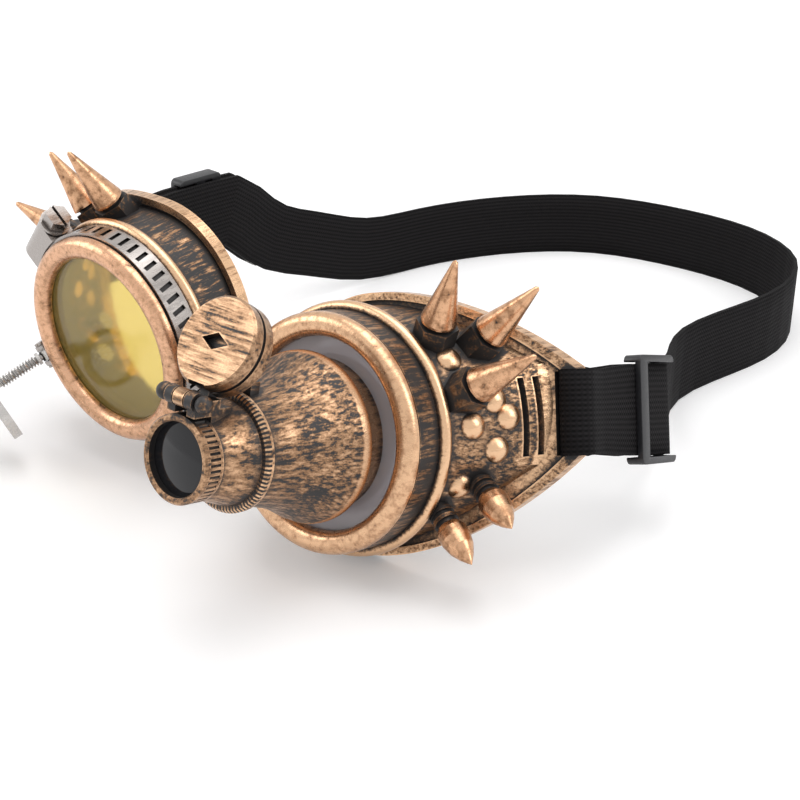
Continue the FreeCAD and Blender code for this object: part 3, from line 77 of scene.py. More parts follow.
# %% A finish that is wired step by step
class Finish:
    def __init__(self, name):
        self.material = bpy.data.materials.new(name)
        self.material.use_nodes = True
        self.tree = self.material.node_tree
        self.shader = self.tree.nodes["Principled BSDF"]

    def node(self, kind, **settings):
        made = self.tree.nodes.new("ShaderNode" + kind)
        for name, setting in settings.items():
            setattr(made, name, setting)
        return made

    def feed(self, socket, item):
        if isinstance(item, bpy.types.NodeSocket):
            self.tree.links.new(item, socket)
        else:
            socket.default_value = item

    def fed(self, made, *items):
        for socket, item in zip(made.inputs, items):
            self.feed(socket, item)
        return made.outputs

    def set(self, **inputs):
        for name, item in inputs.items():
            self.feed(self.shader.inputs[name.replace("_", " ")], item)

    def sum(self, operation, *items):
        return self.fed(self.node("Math", operation=operation), *items)[0]

    def plus(self, first, *others):
        for other in others:
            first = self.sum("ADD", first, other)
        return first

    def less(self, item, other):
        return self.sum("SUBTRACT", item, other)

    def times(self, item, other):
        return self.sum("MULTIPLY", item, other)

    def ease(self, item, low, high, start=0.0, end=1.0):
        made = self.node("MapRange", interpolation_type="SMOOTHSTEP")
        return self.fed(made, item, low, high, start, end)[0]

    def mix(self, share, low, high):
        made = self.node("Mix", data_type="RGBA")
        for socket, item in zip((made.inputs[0], made.inputs[6], made.inputs[7]), (share, low, high)):
            self.feed(socket, (*item, 1.0) if isinstance(item, tuple) else item)
        return made.outputs[2]

    def noise(self, place, scale, detail, roughness):
        made = self.node("TexNoise")
        for name, item in (("Vector", place), ("Scale", scale), ("Detail", detail), ("Roughness", roughness)):
            self.feed(made.inputs[name], item)
        return made.outputs["Fac"]

    def point(self):
        return self.node("TexCoord").outputs["Object"]

    def placed(self, place, centre, turn, scale):
        return self.fed(self.node("Mapping", vector_type="TEXTURE"), place, centre, turn, scale)[0]

    def stretched(self, place, scale):
        made = self.node("Mapping", vector_type="POINT")
        self.feed(made.inputs["Vector"], place)
        made.inputs["Scale"].default_value = scale
        return made.outputs[0]

    def parts(self, place):
        return list(self.fed(self.node("SeparateXYZ"), place))

    def joined(self, x, y, z):
        return self.fed(self.node("CombineXYZ"), x, y, z)[0]

    def bump(self, height, strength, distance):
        made = self.node("Bump")
        made.inputs["Strength"].default_value = strength
        made.inputs["Distance"].default_value = distance
        self.feed(made.inputs["Height"], height)
        self.set(Normal=made.outputs[0])

    # Occlusion from nearby surfaces. Used outside, it paints shade into corners; with inside=True it finds
    # convex edges.
    def recess(self, distance, inside=False):
        made = self.node("AmbientOcclusion", samples=6, inside=inside)
        made.inputs["Distance"].default_value = distance
        return self.less(1.0, made.outputs["AO"])


# %% [markdown]
# ## Table
# The picture is taken on a white sweep. Here the table is one large plane in a pale colour. What the camera,
# the metal and the glass see of it also glows a little, more so further away, so the table runs into the
# white background without a line and keeps the shadow under the goggles.

# %% Table
TABLE_HEIGHT, TABLE_REACH = -0.0405, 3.0
GLOW_START, GLOW_END = 0.25, 1.3
GLOW_NEAR, GLOW_FAR = 0.2, 0.5

table_shape = bmesh.new()
bmesh.ops.create_grid(table_shape, x_segments=1, y_segments=1, size=TABLE_REACH,
                      matrix=Matrix.Translation((0, 0, TABLE_HEIGHT)))
table_mesh = bpy.data.meshes.new("table")
table_shape.to_mesh(table_mesh)
table_shape.free()
table = bpy.data.objects.new("table", table_mesh)
scene.collection.objects.link(table)

paper = Finish("pale_paper")
path = paper.node("LightPath").outputs
seen = paper.sum("MAXIMUM", path["Is Camera Ray"], path["Is Glossy Ray"])
seen = paper.sum("MAXIMUM", seen, path["Is Transmission Ray"])
apart = paper.fed(paper.node("VectorMath", operation="LENGTH"), paper.point())["Value"]
glow = paper.ease(apart, GLOW_START, GLOW_END, GLOW_NEAR, GLOW_FAR)
paper.set(Base_Color=(0.88, 0.875, 0.88, 1), Roughness=0.7, Specular_IOR_Level=0.1,
          Emission_Color=(1.0, 1.0, 1.0, 1), Emission_Strength=paper.times(seen, glow))
table_mesh.materials.append(paper.material)
print("table at", TABLE_HEIGHT, "m")

# %% [markdown]
# ## World
# A world that is white everywhere would light the goggles flatly. A Light Path node tells what kind of ray
# looks at it: the camera, shiny metal and glass see full white, and all other rays get a weaker light.

# %% World
WORLD_LIGHT, WORLD_WHITE = 0.55, 1.0

world = bpy.data.worlds.new("studio")
world.use_nodes = True
scene.world = world
tree = world.node_tree
shade = tree.nodes["Background"]
path = tree.nodes.new("ShaderNodeLightPath")
seen_white = path.outputs["Is Camera Ray"]
for ray in ("Is Glossy Ray", "Is Transmission Ray"):
    larger = tree.nodes.new("ShaderNodeMath")
    larger.operation = "MAXIMUM"
    tree.links.new(seen_white, larger.inputs[0])
    tree.links.new(path.outputs[ray], larger.inputs[1])
    seen_white = larger.outputs[0]
level = tree.nodes.new("ShaderNodeMapRange")
level.inputs["To Min"].default_value = WORLD_LIGHT
level.inputs["To Max"].default_value = WORLD_WHITE
tree.links.new(seen_white, level.inputs["Value"])
shade.inputs["Color"].default_value = (1, 1, 1, 1)
tree.links.new(level.outputs[0], shade.inputs["Strength"])
print("world", WORLD_LIGHT, "as light,", WORLD_WHITE, "as background")

# %% [markdown]
# ## Soft boxes
# Three area lamps stand in for the lamps of a photo table: a large one above, which makes the shadow, and
# one at each side for the long highlights on the copper. Each is turned to the goggles by aiming its -Z axis.

# %% Soft boxes
def soft_box(name, place, aim, width, height, power):
    lamp = bpy.data.lights.new(name, "AREA")
    lamp.shape = "RECTANGLE"
    lamp.size, lamp.size_y = width, height
    lamp.energy = power
    box = bpy.data.objects.new(name, lamp)
    scene.collection.objects.link(box)
    box.location = place
    box.rotation_euler = (Vector(aim) - Vector(place)).to_track_quat("-Z", "Y").to_euler()
    print(name, power, "W")


soft_box("top_box", (0.05, 0.1, 0.9), (0, 0.05, 0), 0.9, 0.7, 4.6)
soft_box("left_box", (-0.75, -0.45, 0.5), (0, 0, 0), 0.5, 0.6, 2.4)
soft_box("right_box", (0.8, 0.25, 0.55), (0.03, 0.0, 0), 0.4, 0.6, 2.4)

# %% [markdown]
# ## Frames of the two eyes
# Each cup was drawn round its own lens axis, so its wear follows that axis as well. A Mapping node that
# undoes a cup's place, tilt and roll turns object coordinates into the cup's own: x to the temple, y up
# and z out of the lens. The second cup is a mirror image, and a scale of -1 takes care of that.

# %% Cup coordinates
EYES = {
    "scope_eye": {"place": (0.0415, -0.017, -0.00108), "tilt": 76.2, "roll": 17.2, "mirror": 1},
    "clamp_eye": {"place": (-0.0415, -0.017, 0.0015), "tilt": 94.3, "roll": 4.0, "mirror": -1},
}


def lens_axis(eye):
    tilt = math.radians(EYES[eye]["tilt"])
    return (0.0, -math.sin(tilt), math.cos(tilt))


def cup_point(finish, eye):
    row = EYES[eye]
    turn = (Matrix.Rotation(math.radians(row["tilt"]), 3, "X")
            @ Matrix.Rotation(math.radians(row["roll"] * row["mirror"]), 3, "Z")).to_euler()
    return finish.placed(finish.point(), row["place"], tuple(turn), (row["mirror"], 1, 1))


print({eye: [round(a, 3) for a in lens_axis(eye)] for eye in EYES})

# %% [markdown]
# ## Aged copper
# The real cups are plastic with a copper finish: black paint was rubbed over it and wiped off, so it
# stays in corners and in fine streaks. One function mixes bright copper, brown copper and black. The
# share of black comes from three noises, from how enclosed a spot is, and from a level that each piece
# sets for itself. How enclosed a spot is counts as partly paint left in corners and partly painted shade,
# in corners and where other parts stand close. A higher level leaves less black, and edges are wiped
# cleaner than faces.

# %% Copper that was painted black and wiped
BRIGHT_COPPER = (0.73, 0.47, 0.285)
BROWN_COPPER = (0.26, 0.145, 0.078)
BLACK_PAINT_AND_SHADE = (0.019, 0.017, 0.017)
STREAK_SHARE, SPECK_SHARE, PATCH_SHARE = 0.62, 0.16, 0.22
SPECK_SCALE, PATCH_SCALE = 2.2, 0.14
PAINT_EDGE, TARNISH_REACH = 0.035, 0.17
PAINT_DEPTH, STREAK_BUMP, STREAK_HEIGHT = 0.35, 0.5, 0.00018


def wiped_copper(finish, place, level, streak=(1, 1, 0.12), fine=1150.0, corner=0.0025, paint_and_shade_share=0.5,
                 edge=0.0005, edge_share=0.2, bright=BRIGHT_COPPER, brown=BROWN_COPPER):
    streaks = finish.noise(finish.stretched(place, streak), fine, 6.0, 0.68)
    specks = finish.noise(place, fine * SPECK_SCALE, 3.0, 0.7)
    patches = finish.noise(place, fine * PATCH_SCALE, 3.0, 0.55)
    # Painted shade: the occlusion term darkens corners and spots near other parts, on top of the paint left
    # there.
    mixed = finish.plus(finish.times(streaks, STREAK_SHARE), finish.times(specks, SPECK_SHARE),
                        finish.times(patches, PATCH_SHARE),
                        finish.times(finish.recess(corner), paint_and_shade_share))
    mixed = finish.less(mixed, finish.times(finish.recess(edge, inside=True), edge_share))
    over = finish.less(mixed, level)
    paint_and_shade = finish.ease(over, -PAINT_EDGE, PAINT_EDGE)
    metal = finish.mix(finish.ease(over, -TARNISH_REACH, 0.0), bright, brown)
    finish.set(Base_Color=finish.mix(paint_and_shade, metal, BLACK_PAINT_AND_SHADE),
               Metallic=finish.ease(paint_and_shade, 0.0, 1.0, 1.0, 0.15),
               Roughness=finish.ease(over, -0.2, 0.1, 0.24, 0.50))
    finish.bump(finish.less(streaks, finish.times(paint_and_shade, PAINT_DEPTH)), STREAK_BUMP, STREAK_HEIGHT)


def dress(finish, *nodes):
    for node in nodes:
        for slot in solids[node].material_slots:
            slot.material = finish.material
    print(finish.material.name, "on", ", ".join(nodes))


# %% [markdown]
# ## Eye cups
# The paint lies differently on each zone of a cup. The collar in front of the bead is nearly black with
# short copper streaks, the wall behind it is streaked, the pressed studs were wiped bright, and the
# flange and its rim are bright with a few specks. The zones come from depth behind the lens, in mm, and
# from the distance to the lens axis and to the studs.

# %% Eye cups
MM = 1000.0
COLLAR_END, WALL_START = 11.0, 12.2
BEAD_FRONT, BEAD_BACK, BEAD_WIPED = (10.2, 11.2), (14.6, 13.8), 0.24
FLANGE_DEPTH, FLANGE_BEND, FLANGE_TILT = 25.0, 75.0, 0.087
FLANGE_EDGE, FLANGE_LEVEL = (-1.7, -1.0), 0.62
STUDS = [(29.49, 16.35, -19.5), (37.62, 5.29, -26.0), (34.82, -0.61, -20.0), (39.48, 0.69, -29.0),
         (37.33, -7.26, -26.0), (29.84, -15.87, -19.5)]
STUD_EDGE, STUD_WIPED = (0.0036, 0.0026), 0.25
INSIDE_EDGE, INSIDE_PAINT = (30.6, 29.6), 0.5


def cup_finish(eye, wall_level, collar_level):
    cup = Finish(eye + "_cup_copper")
    place = cup_point(cup, eye)
    x, y, z = cup.parts(place)
    depth = cup.times(z, -MM)
    radius = cup.times(cup.sum("POWER", cup.plus(cup.times(x, x), cup.times(y, y)), 0.5), MM)
    level = cup.ease(depth, COLLAR_END, WALL_START, collar_level, wall_level)
    near_bead = cup.times(cup.ease(depth, *BEAD_FRONT), cup.ease(depth, *BEAD_BACK))
    level = cup.plus(level, cup.times(near_bead, BEAD_WIPED))
    bent = cup.times(cup.sum("MAXIMUM", x, 0.0), MM)
    bend = cup.sum("POWER", cup.less(FLANGE_BEND ** 2, cup.times(bent, bent)), 0.5)
    front = cup.plus(cup.less(FLANGE_BEND, bend), FLANGE_DEPTH, cup.times(y, FLANGE_TILT * MM))
    flange = cup.ease(cup.less(depth, front), *FLANGE_EDGE)
    level = cup.plus(level, cup.times(flange, cup.less(FLANGE_LEVEL, level)))
    for stud in STUDS:
        gap = cup.fed(cup.node("VectorMath", operation="DISTANCE"), place, [a / MM for a in stud])["Value"]
        level = cup.plus(level, cup.times(cup.ease(gap, *STUD_EDGE), STUD_WIPED))
    level = cup.less(level, cup.times(cup.ease(radius, *INSIDE_EDGE), INSIDE_PAINT))
    wiped_copper(cup, place, level)
    dress(cup, eye + "_cup")


cup_finish("scope_eye", 0.51, 0.475)
cup_finish("clamp_eye", 0.46, 0.47)

# %% [markdown]
# ## Pieces that are made here
# The new pieces share a few steps. A turned piece is a section, drawn as radius and height in mm, that is
# spun round the lens axis; a full spin needs its ends merged. Hard edges get a small bevel, because no cast
# or moulded edge is sharp. The finished mesh is put on a body and stands in for the CAD solids it replaces.

# %% Spinning, rounding and showing a piece
SHARP_ANGLE = math.radians(35)


def eye_place(eye):
    row = EYES[eye]
    return Matrix.Translation(row["place"]) @ Matrix.Rotation(math.radians(row["tilt"]), 4, "X")


def arc(centre, radius, start, end, steps=10):
    turns = [math.radians(start + (end - start) * i / steps) for i in range(steps + 1)]
    return [(centre[0] + radius * math.cos(a), centre[1] + radius * math.sin(a)) for a in turns]


def turned_shape(section, eye, steps=128):
    shape = bmesh.new()
    corners = [shape.verts.new((r / MM, 0, z / MM)) for r, z in section]
    edges = [shape.edges.new(pair) for pair in zip(corners, corners[1:] + corners[:1])]
    bmesh.ops.spin(shape, geom=corners + edges, cent=(0, 0, 0), axis=(0, 0, 1), angle=2 * math.pi,
                   steps=steps, use_merge=True)
    bmesh.ops.recalc_face_normals(shape, faces=shape.faces)
    bmesh.ops.transform(shape, matrix=eye_place(eye), verts=shape.verts)
    return shape


def round_edges(shape, edges, offset, segments):
    bmesh.ops.bevel(shape, geom=edges, offset=offset, offset_type="OFFSET", segments=segments, profile=0.5,
                    affect="EDGES", clamp_overlap=True, material=-1)


def show(name, shape, finish, body, slot, *nodes):
    mesh = bpy.data.meshes.new(name)
    shape.to_mesh(mesh)
    shape.free()
    mesh.shade_smooth()
    mesh.set_sharp_from_angle(angle=SHARP_ANGLE)
    mesh.materials.append(finish.material)
    piece = bpy.data.objects.new(name, mesh)
    scene.collection.objects.link(piece)
    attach(piece, body)
    for node in nodes:
        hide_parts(node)
    print(name, len(mesh.polygons), "faces")


# %% [markdown]
# ## Lens rings
# The CAD ring has a flat face and one rounded edge, which leaves a straight bore for a filter. The real face
# is round all over, so the same section is spun here with two quarter circles at its front. The rings were
# wiped harder than the cups, so they have a higher level, and the clamp eye's ring is a little pinker.

# %% Lens rings
OPENING, RING_OUTER, RING_LIP, RING_ROUND = 24.8, 31.0, 3.2, 2.85
SKIRT_IN, SKIRT_OUT, SKIRT_END = 27.28, 28.68, 6.5

ring_section = (arc((OPENING + RING_ROUND, -RING_ROUND), RING_ROUND, 180, 90)
                + arc((RING_OUTER - RING_ROUND, -RING_ROUND), RING_ROUND, 90, 0)
                + [(RING_OUTER, -RING_LIP), (SKIRT_OUT, -RING_LIP), (SKIRT_OUT, -SKIRT_END),
                   (SKIRT_IN, -SKIRT_END), (SKIRT_IN, -RING_LIP), (OPENING, -RING_LIP)])
for eye, body, pink in (("scope_eye", "scope_ring", 0.0), ("clamp_eye", "clamp_ring", 0.03)):
    ring = Finish(eye + "_ring_copper")
    wiped_copper(ring, cup_point(ring, eye), 0.615, streak=(1, 1, 0.5), fine=560.0, corner=0.003,
                 paint_and_shade_share=0.3, bright=(0.70, 0.44 - pink, 0.265 - pink / 3), brown=(0.44, 0.25, 0.145))
    show(eye + "_rim", turned_shape(ring_section, eye), ring, body, "rim_copper", eye + "_ring")

# %% [markdown]
# ## Bell of the scope
# The bell flares to a thin rim that stands clear of the lens on a narrower foot. The CAD bell is a plain
# flare, so this one is spun from a fuller section. It keeps more of the paint than the rings, in streaks
# along the lens axis, and its rim gets less paint as a painted highlight. A small tab at its neck carries
# the open cap.

# %% Bell of the scope
FOOT, STEM, STEM_INSIDE, BELL_BASE, STEM_END = 19.5, 17.0, 15.4, -3.4, -8.4
RIM_LOW, BELL_WALL, HOLLOW_START = 3.6, 1.8, 7.3
FLARE = [(21.8, 4.9), (20.9, 7.3), (19.3, 10.3), (17.3, 14.2), (15.6, 19.0), (14.4, 24.2), (13.6, 29.2)]
BELL_LEVEL, RIM_EDGE, RIM_PAINTED_HIGHLIGHT = 0.512, (0.0064, 0.0054), 0.17
TAB_SIZE, TAB_PLACE, TAB_ROUND = (5.2, 4.6, 3.2), (0.0, 14.7, 26.4), 0.0004

bell_section = ([(STEM_INSIDE, STEM_END), (STEM, STEM_END), (STEM, BELL_BASE), (FOOT, BELL_BASE),
                 (FOOT, RIM_LOW), (FLARE[0][0], RIM_LOW)] + FLARE
                + [(r - BELL_WALL, z) for r, z in reversed(FLARE[2:])] + [(STEM_INSIDE, HOLLOW_START)])
bell = Finish("scope_bell_copper")
place = cup_point(bell, "scope_eye")
# Painted highlight: the rim gets less paint, so it reads brighter than the rest of the bell.
near_rim = bell.ease(bell.parts(place)[2], *RIM_EDGE)
wiped_copper(bell, place, bell.plus(BELL_LEVEL, bell.times(near_rim, RIM_PAINTED_HIGHLIGHT)), streak=(1, 1, 0.1),
             fine=1000.0, corner=0.003, bright=(0.60, 0.375, 0.225), brown=(0.23, 0.13, 0.072))
show("bell", turned_shape(bell_section, "scope_eye"), bell, "goggles", "aged_copper", "scope_bell")

tab = bmesh.new()
tab_place = eye_place("scope_eye") @ Matrix.Translation([a / MM for a in TAB_PLACE])
bmesh.ops.create_cube(tab, size=1 / MM, matrix=tab_place @ Matrix.Diagonal((*TAB_SIZE, 1.0)))
round_edges(tab, tab.edges[:], TAB_ROUND, 2)
show("cap_rest", tab, bell, "goggles", "aged_copper")

# %% [markdown]
# ## Barrel, neck ring and cap
# The barrel and the knurled front ring are browner than the cups. The neck ring has a row of small beads at
# its front edge: a sine of the angle round the axis says where one bead ends, and paint fills the gaps. The
# cap was brushed, so its noise is stretched along x instead of the lens axis.

# %% Barrel, neck ring and cap
BEADS, BEAD_ROW, BEAD_FADE = 84, 0.0308, 0.0002
NECK_LEVEL, BEAD_GAP, BEAD_GAP_PAINT = 0.6, (0.3, -0.5), 0.5

barrel = Finish("scope_barrel_copper")
wiped_copper(barrel, cup_point(barrel, "scope_eye"), 0.54, streak=(1, 1, 0.2), fine=700.0, corner=0.003,
             bright=(0.58, 0.36, 0.215), brown=(0.23, 0.13, 0.072))
dress(barrel, "scope_barrel", "scope_front_ring")

neck = Finish("neck_ring_copper")
place = cup_point(neck, "scope_eye")
x, y, z = neck.parts(place)
bead = neck.sum("SINE", neck.times(neck.sum("ARCTAN2", y, x), BEADS))
between = neck.times(neck.ease(bead, *BEAD_GAP), neck.ease(z, BEAD_ROW - BEAD_FADE, BEAD_ROW))
wiped_copper(neck, place, neck.less(NECK_LEVEL, neck.times(between, BEAD_GAP_PAINT)), streak=(1, 1, 0.5),
             fine=600.0)
dress(neck, "scope_neck_ring")

cap = Finish("cap_copper")
wiped_copper(cap, cap.point(), 0.56, streak=(0.1, 1, 1), fine=900.0, corner=0.002,
             bright=(0.50, 0.315, 0.19), brown=(0.25, 0.145, 0.082))
dress(cap, "flip_cap", "flip_cap_plate")

# %% [markdown]
# ## Spikes, hinge and dark fittings
# The spikes are bright, reddish copper with dark pits. Their bases and the hinge are cast, dark bronze that
# is bright only where hands rub it.

# %% Spikes and fittings
spike = Finish("spike_copper")
wiped_copper(spike, spike.point(), 0.63, streak=(1, 1, 1), fine=420.0, corner=0.0018, paint_and_shade_share=0.45,
             bright=(0.66, 0.385, 0.225), brown=(0.32, 0.17, 0.09))
dress(spike, "scope_eye_long_spikes", "clamp_eye_long_spikes", "scope_eye_short_spikes",
      "clamp_eye_short_spikes")

bronze = Finish("rubbed_bronze")
wiped_copper(bronze, bronze.point(), 0.475, streak=(1, 1, 1), fine=520.0, corner=0.002, paint_and_shade_share=0.7,
             bright=(0.52, 0.34, 0.21), brown=(0.17, 0.10, 0.06))
dress(bronze, "scope_eye_spike_bases", "clamp_eye_spike_bases", "scope_eye_short_spike_posts",
      "clamp_eye_short_spike_posts", "cap_hinge_bracket", "cap_hinge_pin")

# %% [markdown]
# ## Steel
# The worm clamp and the loupe are bright steel, drawn and pressed, with fine lines along the band, and
# their corners are darkened as painted shade. The tips of the strap are nickel.

# %% Steel
DARK_STEEL_FOR_LINES_AND_SHADE = (0.10, 0.09, 0.085)
STEEL_SHADE_REACH, CORNER_SHADE_SHARE, LINE_SHARE = 0.0015, 0.9, 0.25


def bright_steel(name, colour, streak):
    steel = Finish(name)
    lines = steel.noise(steel.stretched(steel.point(), streak), 900.0, 4.0, 0.6)
    # Painted shade: occlusion darkens the corners; the drawn lines are the steel's own marks.
    lines_and_shade = steel.plus(steel.times(steel.recess(STEEL_SHADE_REACH), CORNER_SHADE_SHARE), steel.times(lines, LINE_SHARE))
    steel.set(Base_Color=steel.mix(steel.ease(lines_and_shade, 0.2, 0.8), colour, DARK_STEEL_FOR_LINES_AND_SHADE), Metallic=1.0,
              Roughness=steel.ease(lines, 0.3, 0.7, 0.18, 0.36))
    steel.bump(lines, 0.25, 0.0001)
    return steel


clamp_steel = bright_steel("drawn_steel", (0.38, 0.35, 0.33), (1, 0.2, 1))
dress(clamp_steel, "clamp_band", "clamp_housing", "clamp_screw", "loupe_bracket", "loupe_pivot_pin",
      "scope_eye_spike_screws", "clamp_eye_spike_screws", "bridge_pins")
loupe_steel = bright_steel("turned_steel", (0.55, 0.53, 0.51), (1, 1, 1))
dress(loupe_steel, "loupe_arm", "loupe_end_ball", "loupe_spring", "loupe_carrier")
nickel = bright_steel("tip_nickel", (0.62, 0.60, 0.55), (1, 1, 0.1))
dress(nickel, "scope_eye_strap_tip", "clamp_eye_strap_tip")

# %% [markdown]
# ## Lenses
# The amber lens is tinted through, so its colour is set on a see-through shader. The lens that carries
# the scope is clear with a grey cast, and the loupe is plain glass. The scope's own glass is made opaque
# and near black, a painted shade for the unlit inside behind it. It is flat in the CAD model and domed on
# the real scope, so its normals point away from a centre behind it, and the reflection bends as on a dome.

# %% Lenses
GLASS_BEND, DUST_ROUGHNESS, DOME_CENTRE = 1.45, 0.08, 0.012


def glass(name, tint, roughness, through=1.0):
    made = Finish(name)
    dust = made.noise(made.point(), 700.0, 4.0, 0.6)
    made.set(Base_Color=(*tint, 1.0), Transmission_Weight=through, IOR=GLASS_BEND,
             Roughness=made.ease(dust, 0.35, 0.75, roughness, roughness + DUST_ROUGHNESS))
    return made


dress(glass("amber_glass", (0.86, 0.66, 0.17), 0.06, 0.86), "clamp_eye_lens")
dress(glass("grey_glass", (0.47, 0.45, 0.48), 0.14, 0.35), "scope_eye_lens")
dress(glass("clear_glass", (0.95, 0.97, 0.96), 0.01), "loupe_lens")

# Painted shade: this glass is opaque near-black, standing in for the unlit inside of the scope.
glass_painted_black_for_shade = glass("glass_painted_black_for_shade", (0.012, 0.012, 0.014), 0.03, 0.0)
centre = Vector(EYES["scope_eye"]["place"]) + Vector(lens_axis("scope_eye")) * DOME_CENTRE
outward = glass_painted_black_for_shade.fed(glass_painted_black_for_shade.node("VectorMath", operation="SUBTRACT"), glass_painted_black_for_shade.point(), centre)
turned = glass_painted_black_for_shade.node("VectorTransform", vector_type="NORMAL", convert_from="OBJECT", convert_to="WORLD")
glass_painted_black_for_shade.set(Normal=glass_painted_black_for_shade.fed(turned, outward[0])[0])
dress(glass_painted_black_for_shade, "scope_front_lens")

# %% [markdown]
# ## Rubber and plastic
# The sliders and the nut behind the scope are moulded in black plastic with a satin skin. The gaskets and
# the nose bridge are soft black rubber.

# %% Rubber and plastic
DARKER, LIGHTER = 0.7, 1.3


def black_plastic(name, colour, low, high, size, depth):
    made = Finish(name)
    skin = made.noise(made.point(), size, 5.0, 0.6)
    made.set(Base_Color=made.mix(skin, tuple(a * DARKER for a in colour), tuple(a * LIGHTER for a in colour)),
             Roughness=made.ease(skin, 0.3, 0.7, low, high))
    made.bump(skin, 0.3, depth)
    return made


satin = black_plastic("satin_black_plastic", (0.015, 0.015, 0.017), 0.30, 0.45, 1500.0, 0.00008)
dress(satin, "scope_back_nut")
rubber = black_plastic("soft_rubber", (0.014, 0.014, 0.014), 0.55, 0.7, 900.0, 0.0001)
dress(rubber, "scope_eye_gasket", "clamp_eye_gasket")

# %% [markdown]
# ## Elastic head strap
# The strap is one flat band of knitted elastic. In the CAD model it is a plain solid with a section at
# each station of its path. Drawing that path a second time could drift from the first, so it is read off
# the solid: on a merged copy, the walk starts at the four corners of one end and follows the sharp edges.

# %% Long edges of the strap
EDGE_ANGLE, WELD = math.radians(45), 1e-6


def long_edges(node):
    walk = bmesh.new()
    walk.from_mesh(solids[node].data)
    bmesh.ops.remove_doubles(walk, verts=walk.verts, dist=WELD)
    sharp = {edge for edge in walk.edges
             if len(edge.link_faces) == 2 and edge.calc_face_angle() > EDGE_ANGLE}

    def next_corners(vert):
        return [edge.other_vert(vert) for edge in vert.link_edges if edge in sharp]

    ends = [vert for vert in walk.verts if len(next_corners(vert)) >= 3]
    start = {ends[0]}
    while len(start) < 4:
        start |= {other for vert in start for other in next_corners(vert) if other in ends}
    chains = []
    for corner in start:
        chain = [corner]
        while len(chain) < 2 or chain[-1] not in ends:
            chain.append(next(other for other in next_corners(chain[-1])
                              if other not in start and other not in chain))
        chains.append([vert.co.copy() for vert in chain])
    walk.free()
    return chains


chains = long_edges("head_strap")
print([len(chain) for chain in chains], "stations")

# %% [markdown]
# The middle of the two upper edges and the middle of the two lower ones are the rails of a ribbon. One edge
# is extruded from station to station along them. The ribbon gets a UV map, with metres along it and 0 to 1
# across it, so that the ribs can follow the elastic everywhere.

# %% Ribbon
low = min(chains, key=lambda chain: sum(point.z for point in chain))
low_mate = min((c for c in chains if c is not low), key=lambda chain: (chain[0] - low[0]).length)
high, high_mate = [c for c in chains if c is not low and c is not low_mate]
thickness = (low[0] - low_mate[0]).length
rails = [((a + b) / 2, (c + d) / 2) for a, b, c, d in zip(high, high_mate, low, low_mate)]
middles = [(upper + lower) / 2 for upper, lower in rails]

ribbon = bmesh.new()
uv = ribbon.loops.layers.uv.new("run")
edge = ribbon.edges.new([ribbon.verts.new(point) for point in rails[0]])
run = 0.0
for i in range(1, len(rails)):
    made = bmesh.ops.extrude_edge_only(ribbon, edges=[edge])["geom"]
    edge = next(item for item in made if isinstance(item, bmesh.types.BMEdge))
    face = next(item for item in made if isinstance(item, bmesh.types.BMFace))
    step = (middles[i] - middles[i - 1]).length
    for loop in face.loops:
        ahead = loop.vert in edge.verts
        upper, lower = rails[i - 1]
        is_upper = (loop.vert.co - upper).length < (loop.vert.co - lower).length
        loop[uv].uv = (run + step if ahead else run, 1.0 if is_upper else 0.0)
        if ahead:
            loop.vert.co = rails[i][0 if is_upper else 1]
    run += step
bmesh.ops.recalc_face_normals(ribbon, faces=ribbon.faces)
print("ribbon", round(run, 3), "m long,", round(thickness * MM, 2), "mm thick")

# %% [markdown]
# Solidify gives the ribbon its thickness and Subdivision Surface a finer mesh. Where the strap is folded
# through a cup's slot it fills the slot, so a vertex group makes those stations thicker, and they are a
# little wider as well. At the sliders the strap keeps its own thickness, so that they can slide.

# %% Elastic
ELASTIC_LOFT = 0.0002
FOLD_LOFT, FOLD_WIDER, FOLD_REACH = 0.0016, 0.0006, 0.071

elastic_mesh = bpy.data.meshes.new("elastic")
ribbon.to_mesh(elastic_mesh)
ribbon.free()
elastic_mesh.shade_smooth()
elastic = bpy.data.objects.new("elastic", elastic_mesh)
scene.collection.objects.link(elastic)
folds = {i for i, middle in enumerate(middles)
         if min((middle - Vector(row["place"])).length for row in EYES.values()) < FOLD_REACH}
group = elastic.vertex_groups.new(name="fold")
for vertex in elastic_mesh.vertices:
    station = vertex.index // 2
    if station in folds:
        group.add([vertex.index], 1.0, "REPLACE")
        vertex.co += (vertex.co - middles[station]).normalized() * FOLD_WIDER
thick = elastic.modifiers.new("thick", "SOLIDIFY")
thick.thickness, thick.offset = thickness + FOLD_LOFT, 0.0
thick.vertex_group = "fold"
thick.thickness_vertex_group = (thickness + ELASTIC_LOFT) / (thickness + FOLD_LOFT)
soft = elastic.modifiers.new("soft", "SUBSURF")
soft.levels = soft.render_levels = 2
soft.subdivision_type = "SIMPLE"
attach(elastic, "goggles")
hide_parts("head_strap")
print("elastic with", len(folds), "stations in its folds at the cups")

# %% [markdown]
# Knitted elastic has ribs along it, with small stitches that shift from rib to rib, and a little fuzz. Two
# sines and a noise on the UV map make one height, which sets both the colour and the bump.

# %% Knit of the elastic
RIBS, STITCH_LENGTH, STITCH_SHIFT = 17, 0.0011, 1.5
FUZZ_ALONG, FUZZ_ACROSS = 400.0, 24.0
RIB_SHARE, STITCH_SHARE, FUZZ_SHARE = 0.5, 0.3, 0.5
DEEP_BLACK, WORN_BLACK = (0.003, 0.0028, 0.003), (0.016, 0.0145, 0.0155)

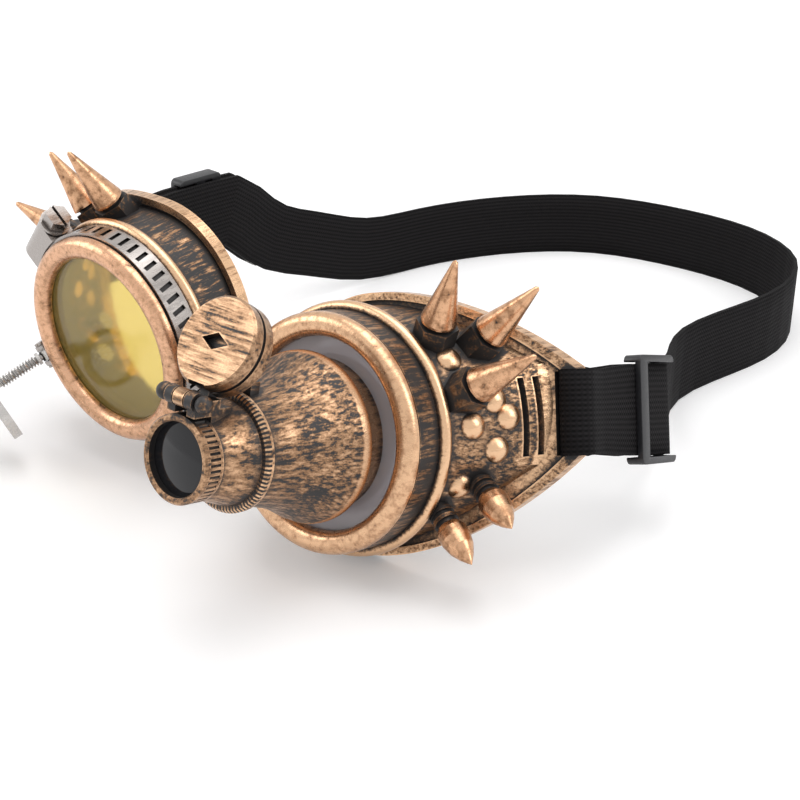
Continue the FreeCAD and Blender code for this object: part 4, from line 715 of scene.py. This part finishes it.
knit = Finish("knitted_elastic")
along, across, _ = knit.parts(knit.node("UVMap", uv_map="run").outputs[0])
ribs = knit.sum("SINE", knit.times(across, 2 * math.pi * RIBS))
stitches = knit.sum("SINE", knit.plus(knit.times(along, 2 * math.pi / STITCH_LENGTH),
                                      knit.times(knit.sum("SIGN", ribs), STITCH_SHIFT)))
fuzz = knit.noise(knit.joined(knit.times(along, FUZZ_ALONG), knit.times(across, FUZZ_ACROSS), 0.0),
                  1.0, 4.0, 0.7)
height = knit.plus(knit.times(ribs, RIB_SHARE), knit.times(stitches, STITCH_SHARE),
                   knit.times(fuzz, FUZZ_SHARE))
knit.set(Base_Color=knit.mix(knit.ease(height, -0.6, 1.2), DEEP_BLACK, WORN_BLACK), Roughness=0.8,
         Specular_IOR_Level=0.12)
knit.bump(height, 0.6, 0.00025)
elastic_mesh.materials.append(knit.material)
print(knit.material.name, "on elastic with", RIBS, "ribs")

# %% [markdown]
# ## Nose bridge and sliders
# A short rubber strip joins the two cups, with an eye round each pin, and a plastic ladder slides on each
# side of the strap. Their CAD solids have hard edges. A merged copy of each is cleaned of its triangles, so
# that only real edges are left, and those are rounded, as moulded pieces have them.

# %% Nose bridge and sliders
FLAT_ANGLE = math.radians(4)
BRIDGE_ROUND, BRIDGE_ANGLE = 0.0003, math.radians(50)
SLIDER_ROUND, SLIDER_ANGLE = 0.0007, math.radians(30)


def rounded_copy(node, offset, angle):
    shape = bmesh.new()
    shape.from_mesh(solids[node].data)
    bmesh.ops.remove_doubles(shape, verts=shape.verts, dist=WELD)
    bmesh.ops.dissolve_limit(shape, angle_limit=FLAT_ANGLE, verts=shape.verts, edges=shape.edges)
    edges = [edge for edge in shape.edges if len(edge.link_faces) == 2 and edge.calc_face_angle() > angle]
    round_edges(shape, edges, offset, 3)
    return shape


show("rubber_bridge", rounded_copy("nose_bridge", BRIDGE_ROUND, BRIDGE_ANGLE), rubber, "goggles",
     "black_rubber", "nose_bridge")
for eye, body in (("scope_eye", "scope_slider"), ("clamp_eye", "clamp_slider")):
    node = eye + "_strap_slider"
    show(eye + "_ladder", rounded_copy(node, SLIDER_ROUND, SLIDER_ANGLE), satin, body, "black_plastic", node)
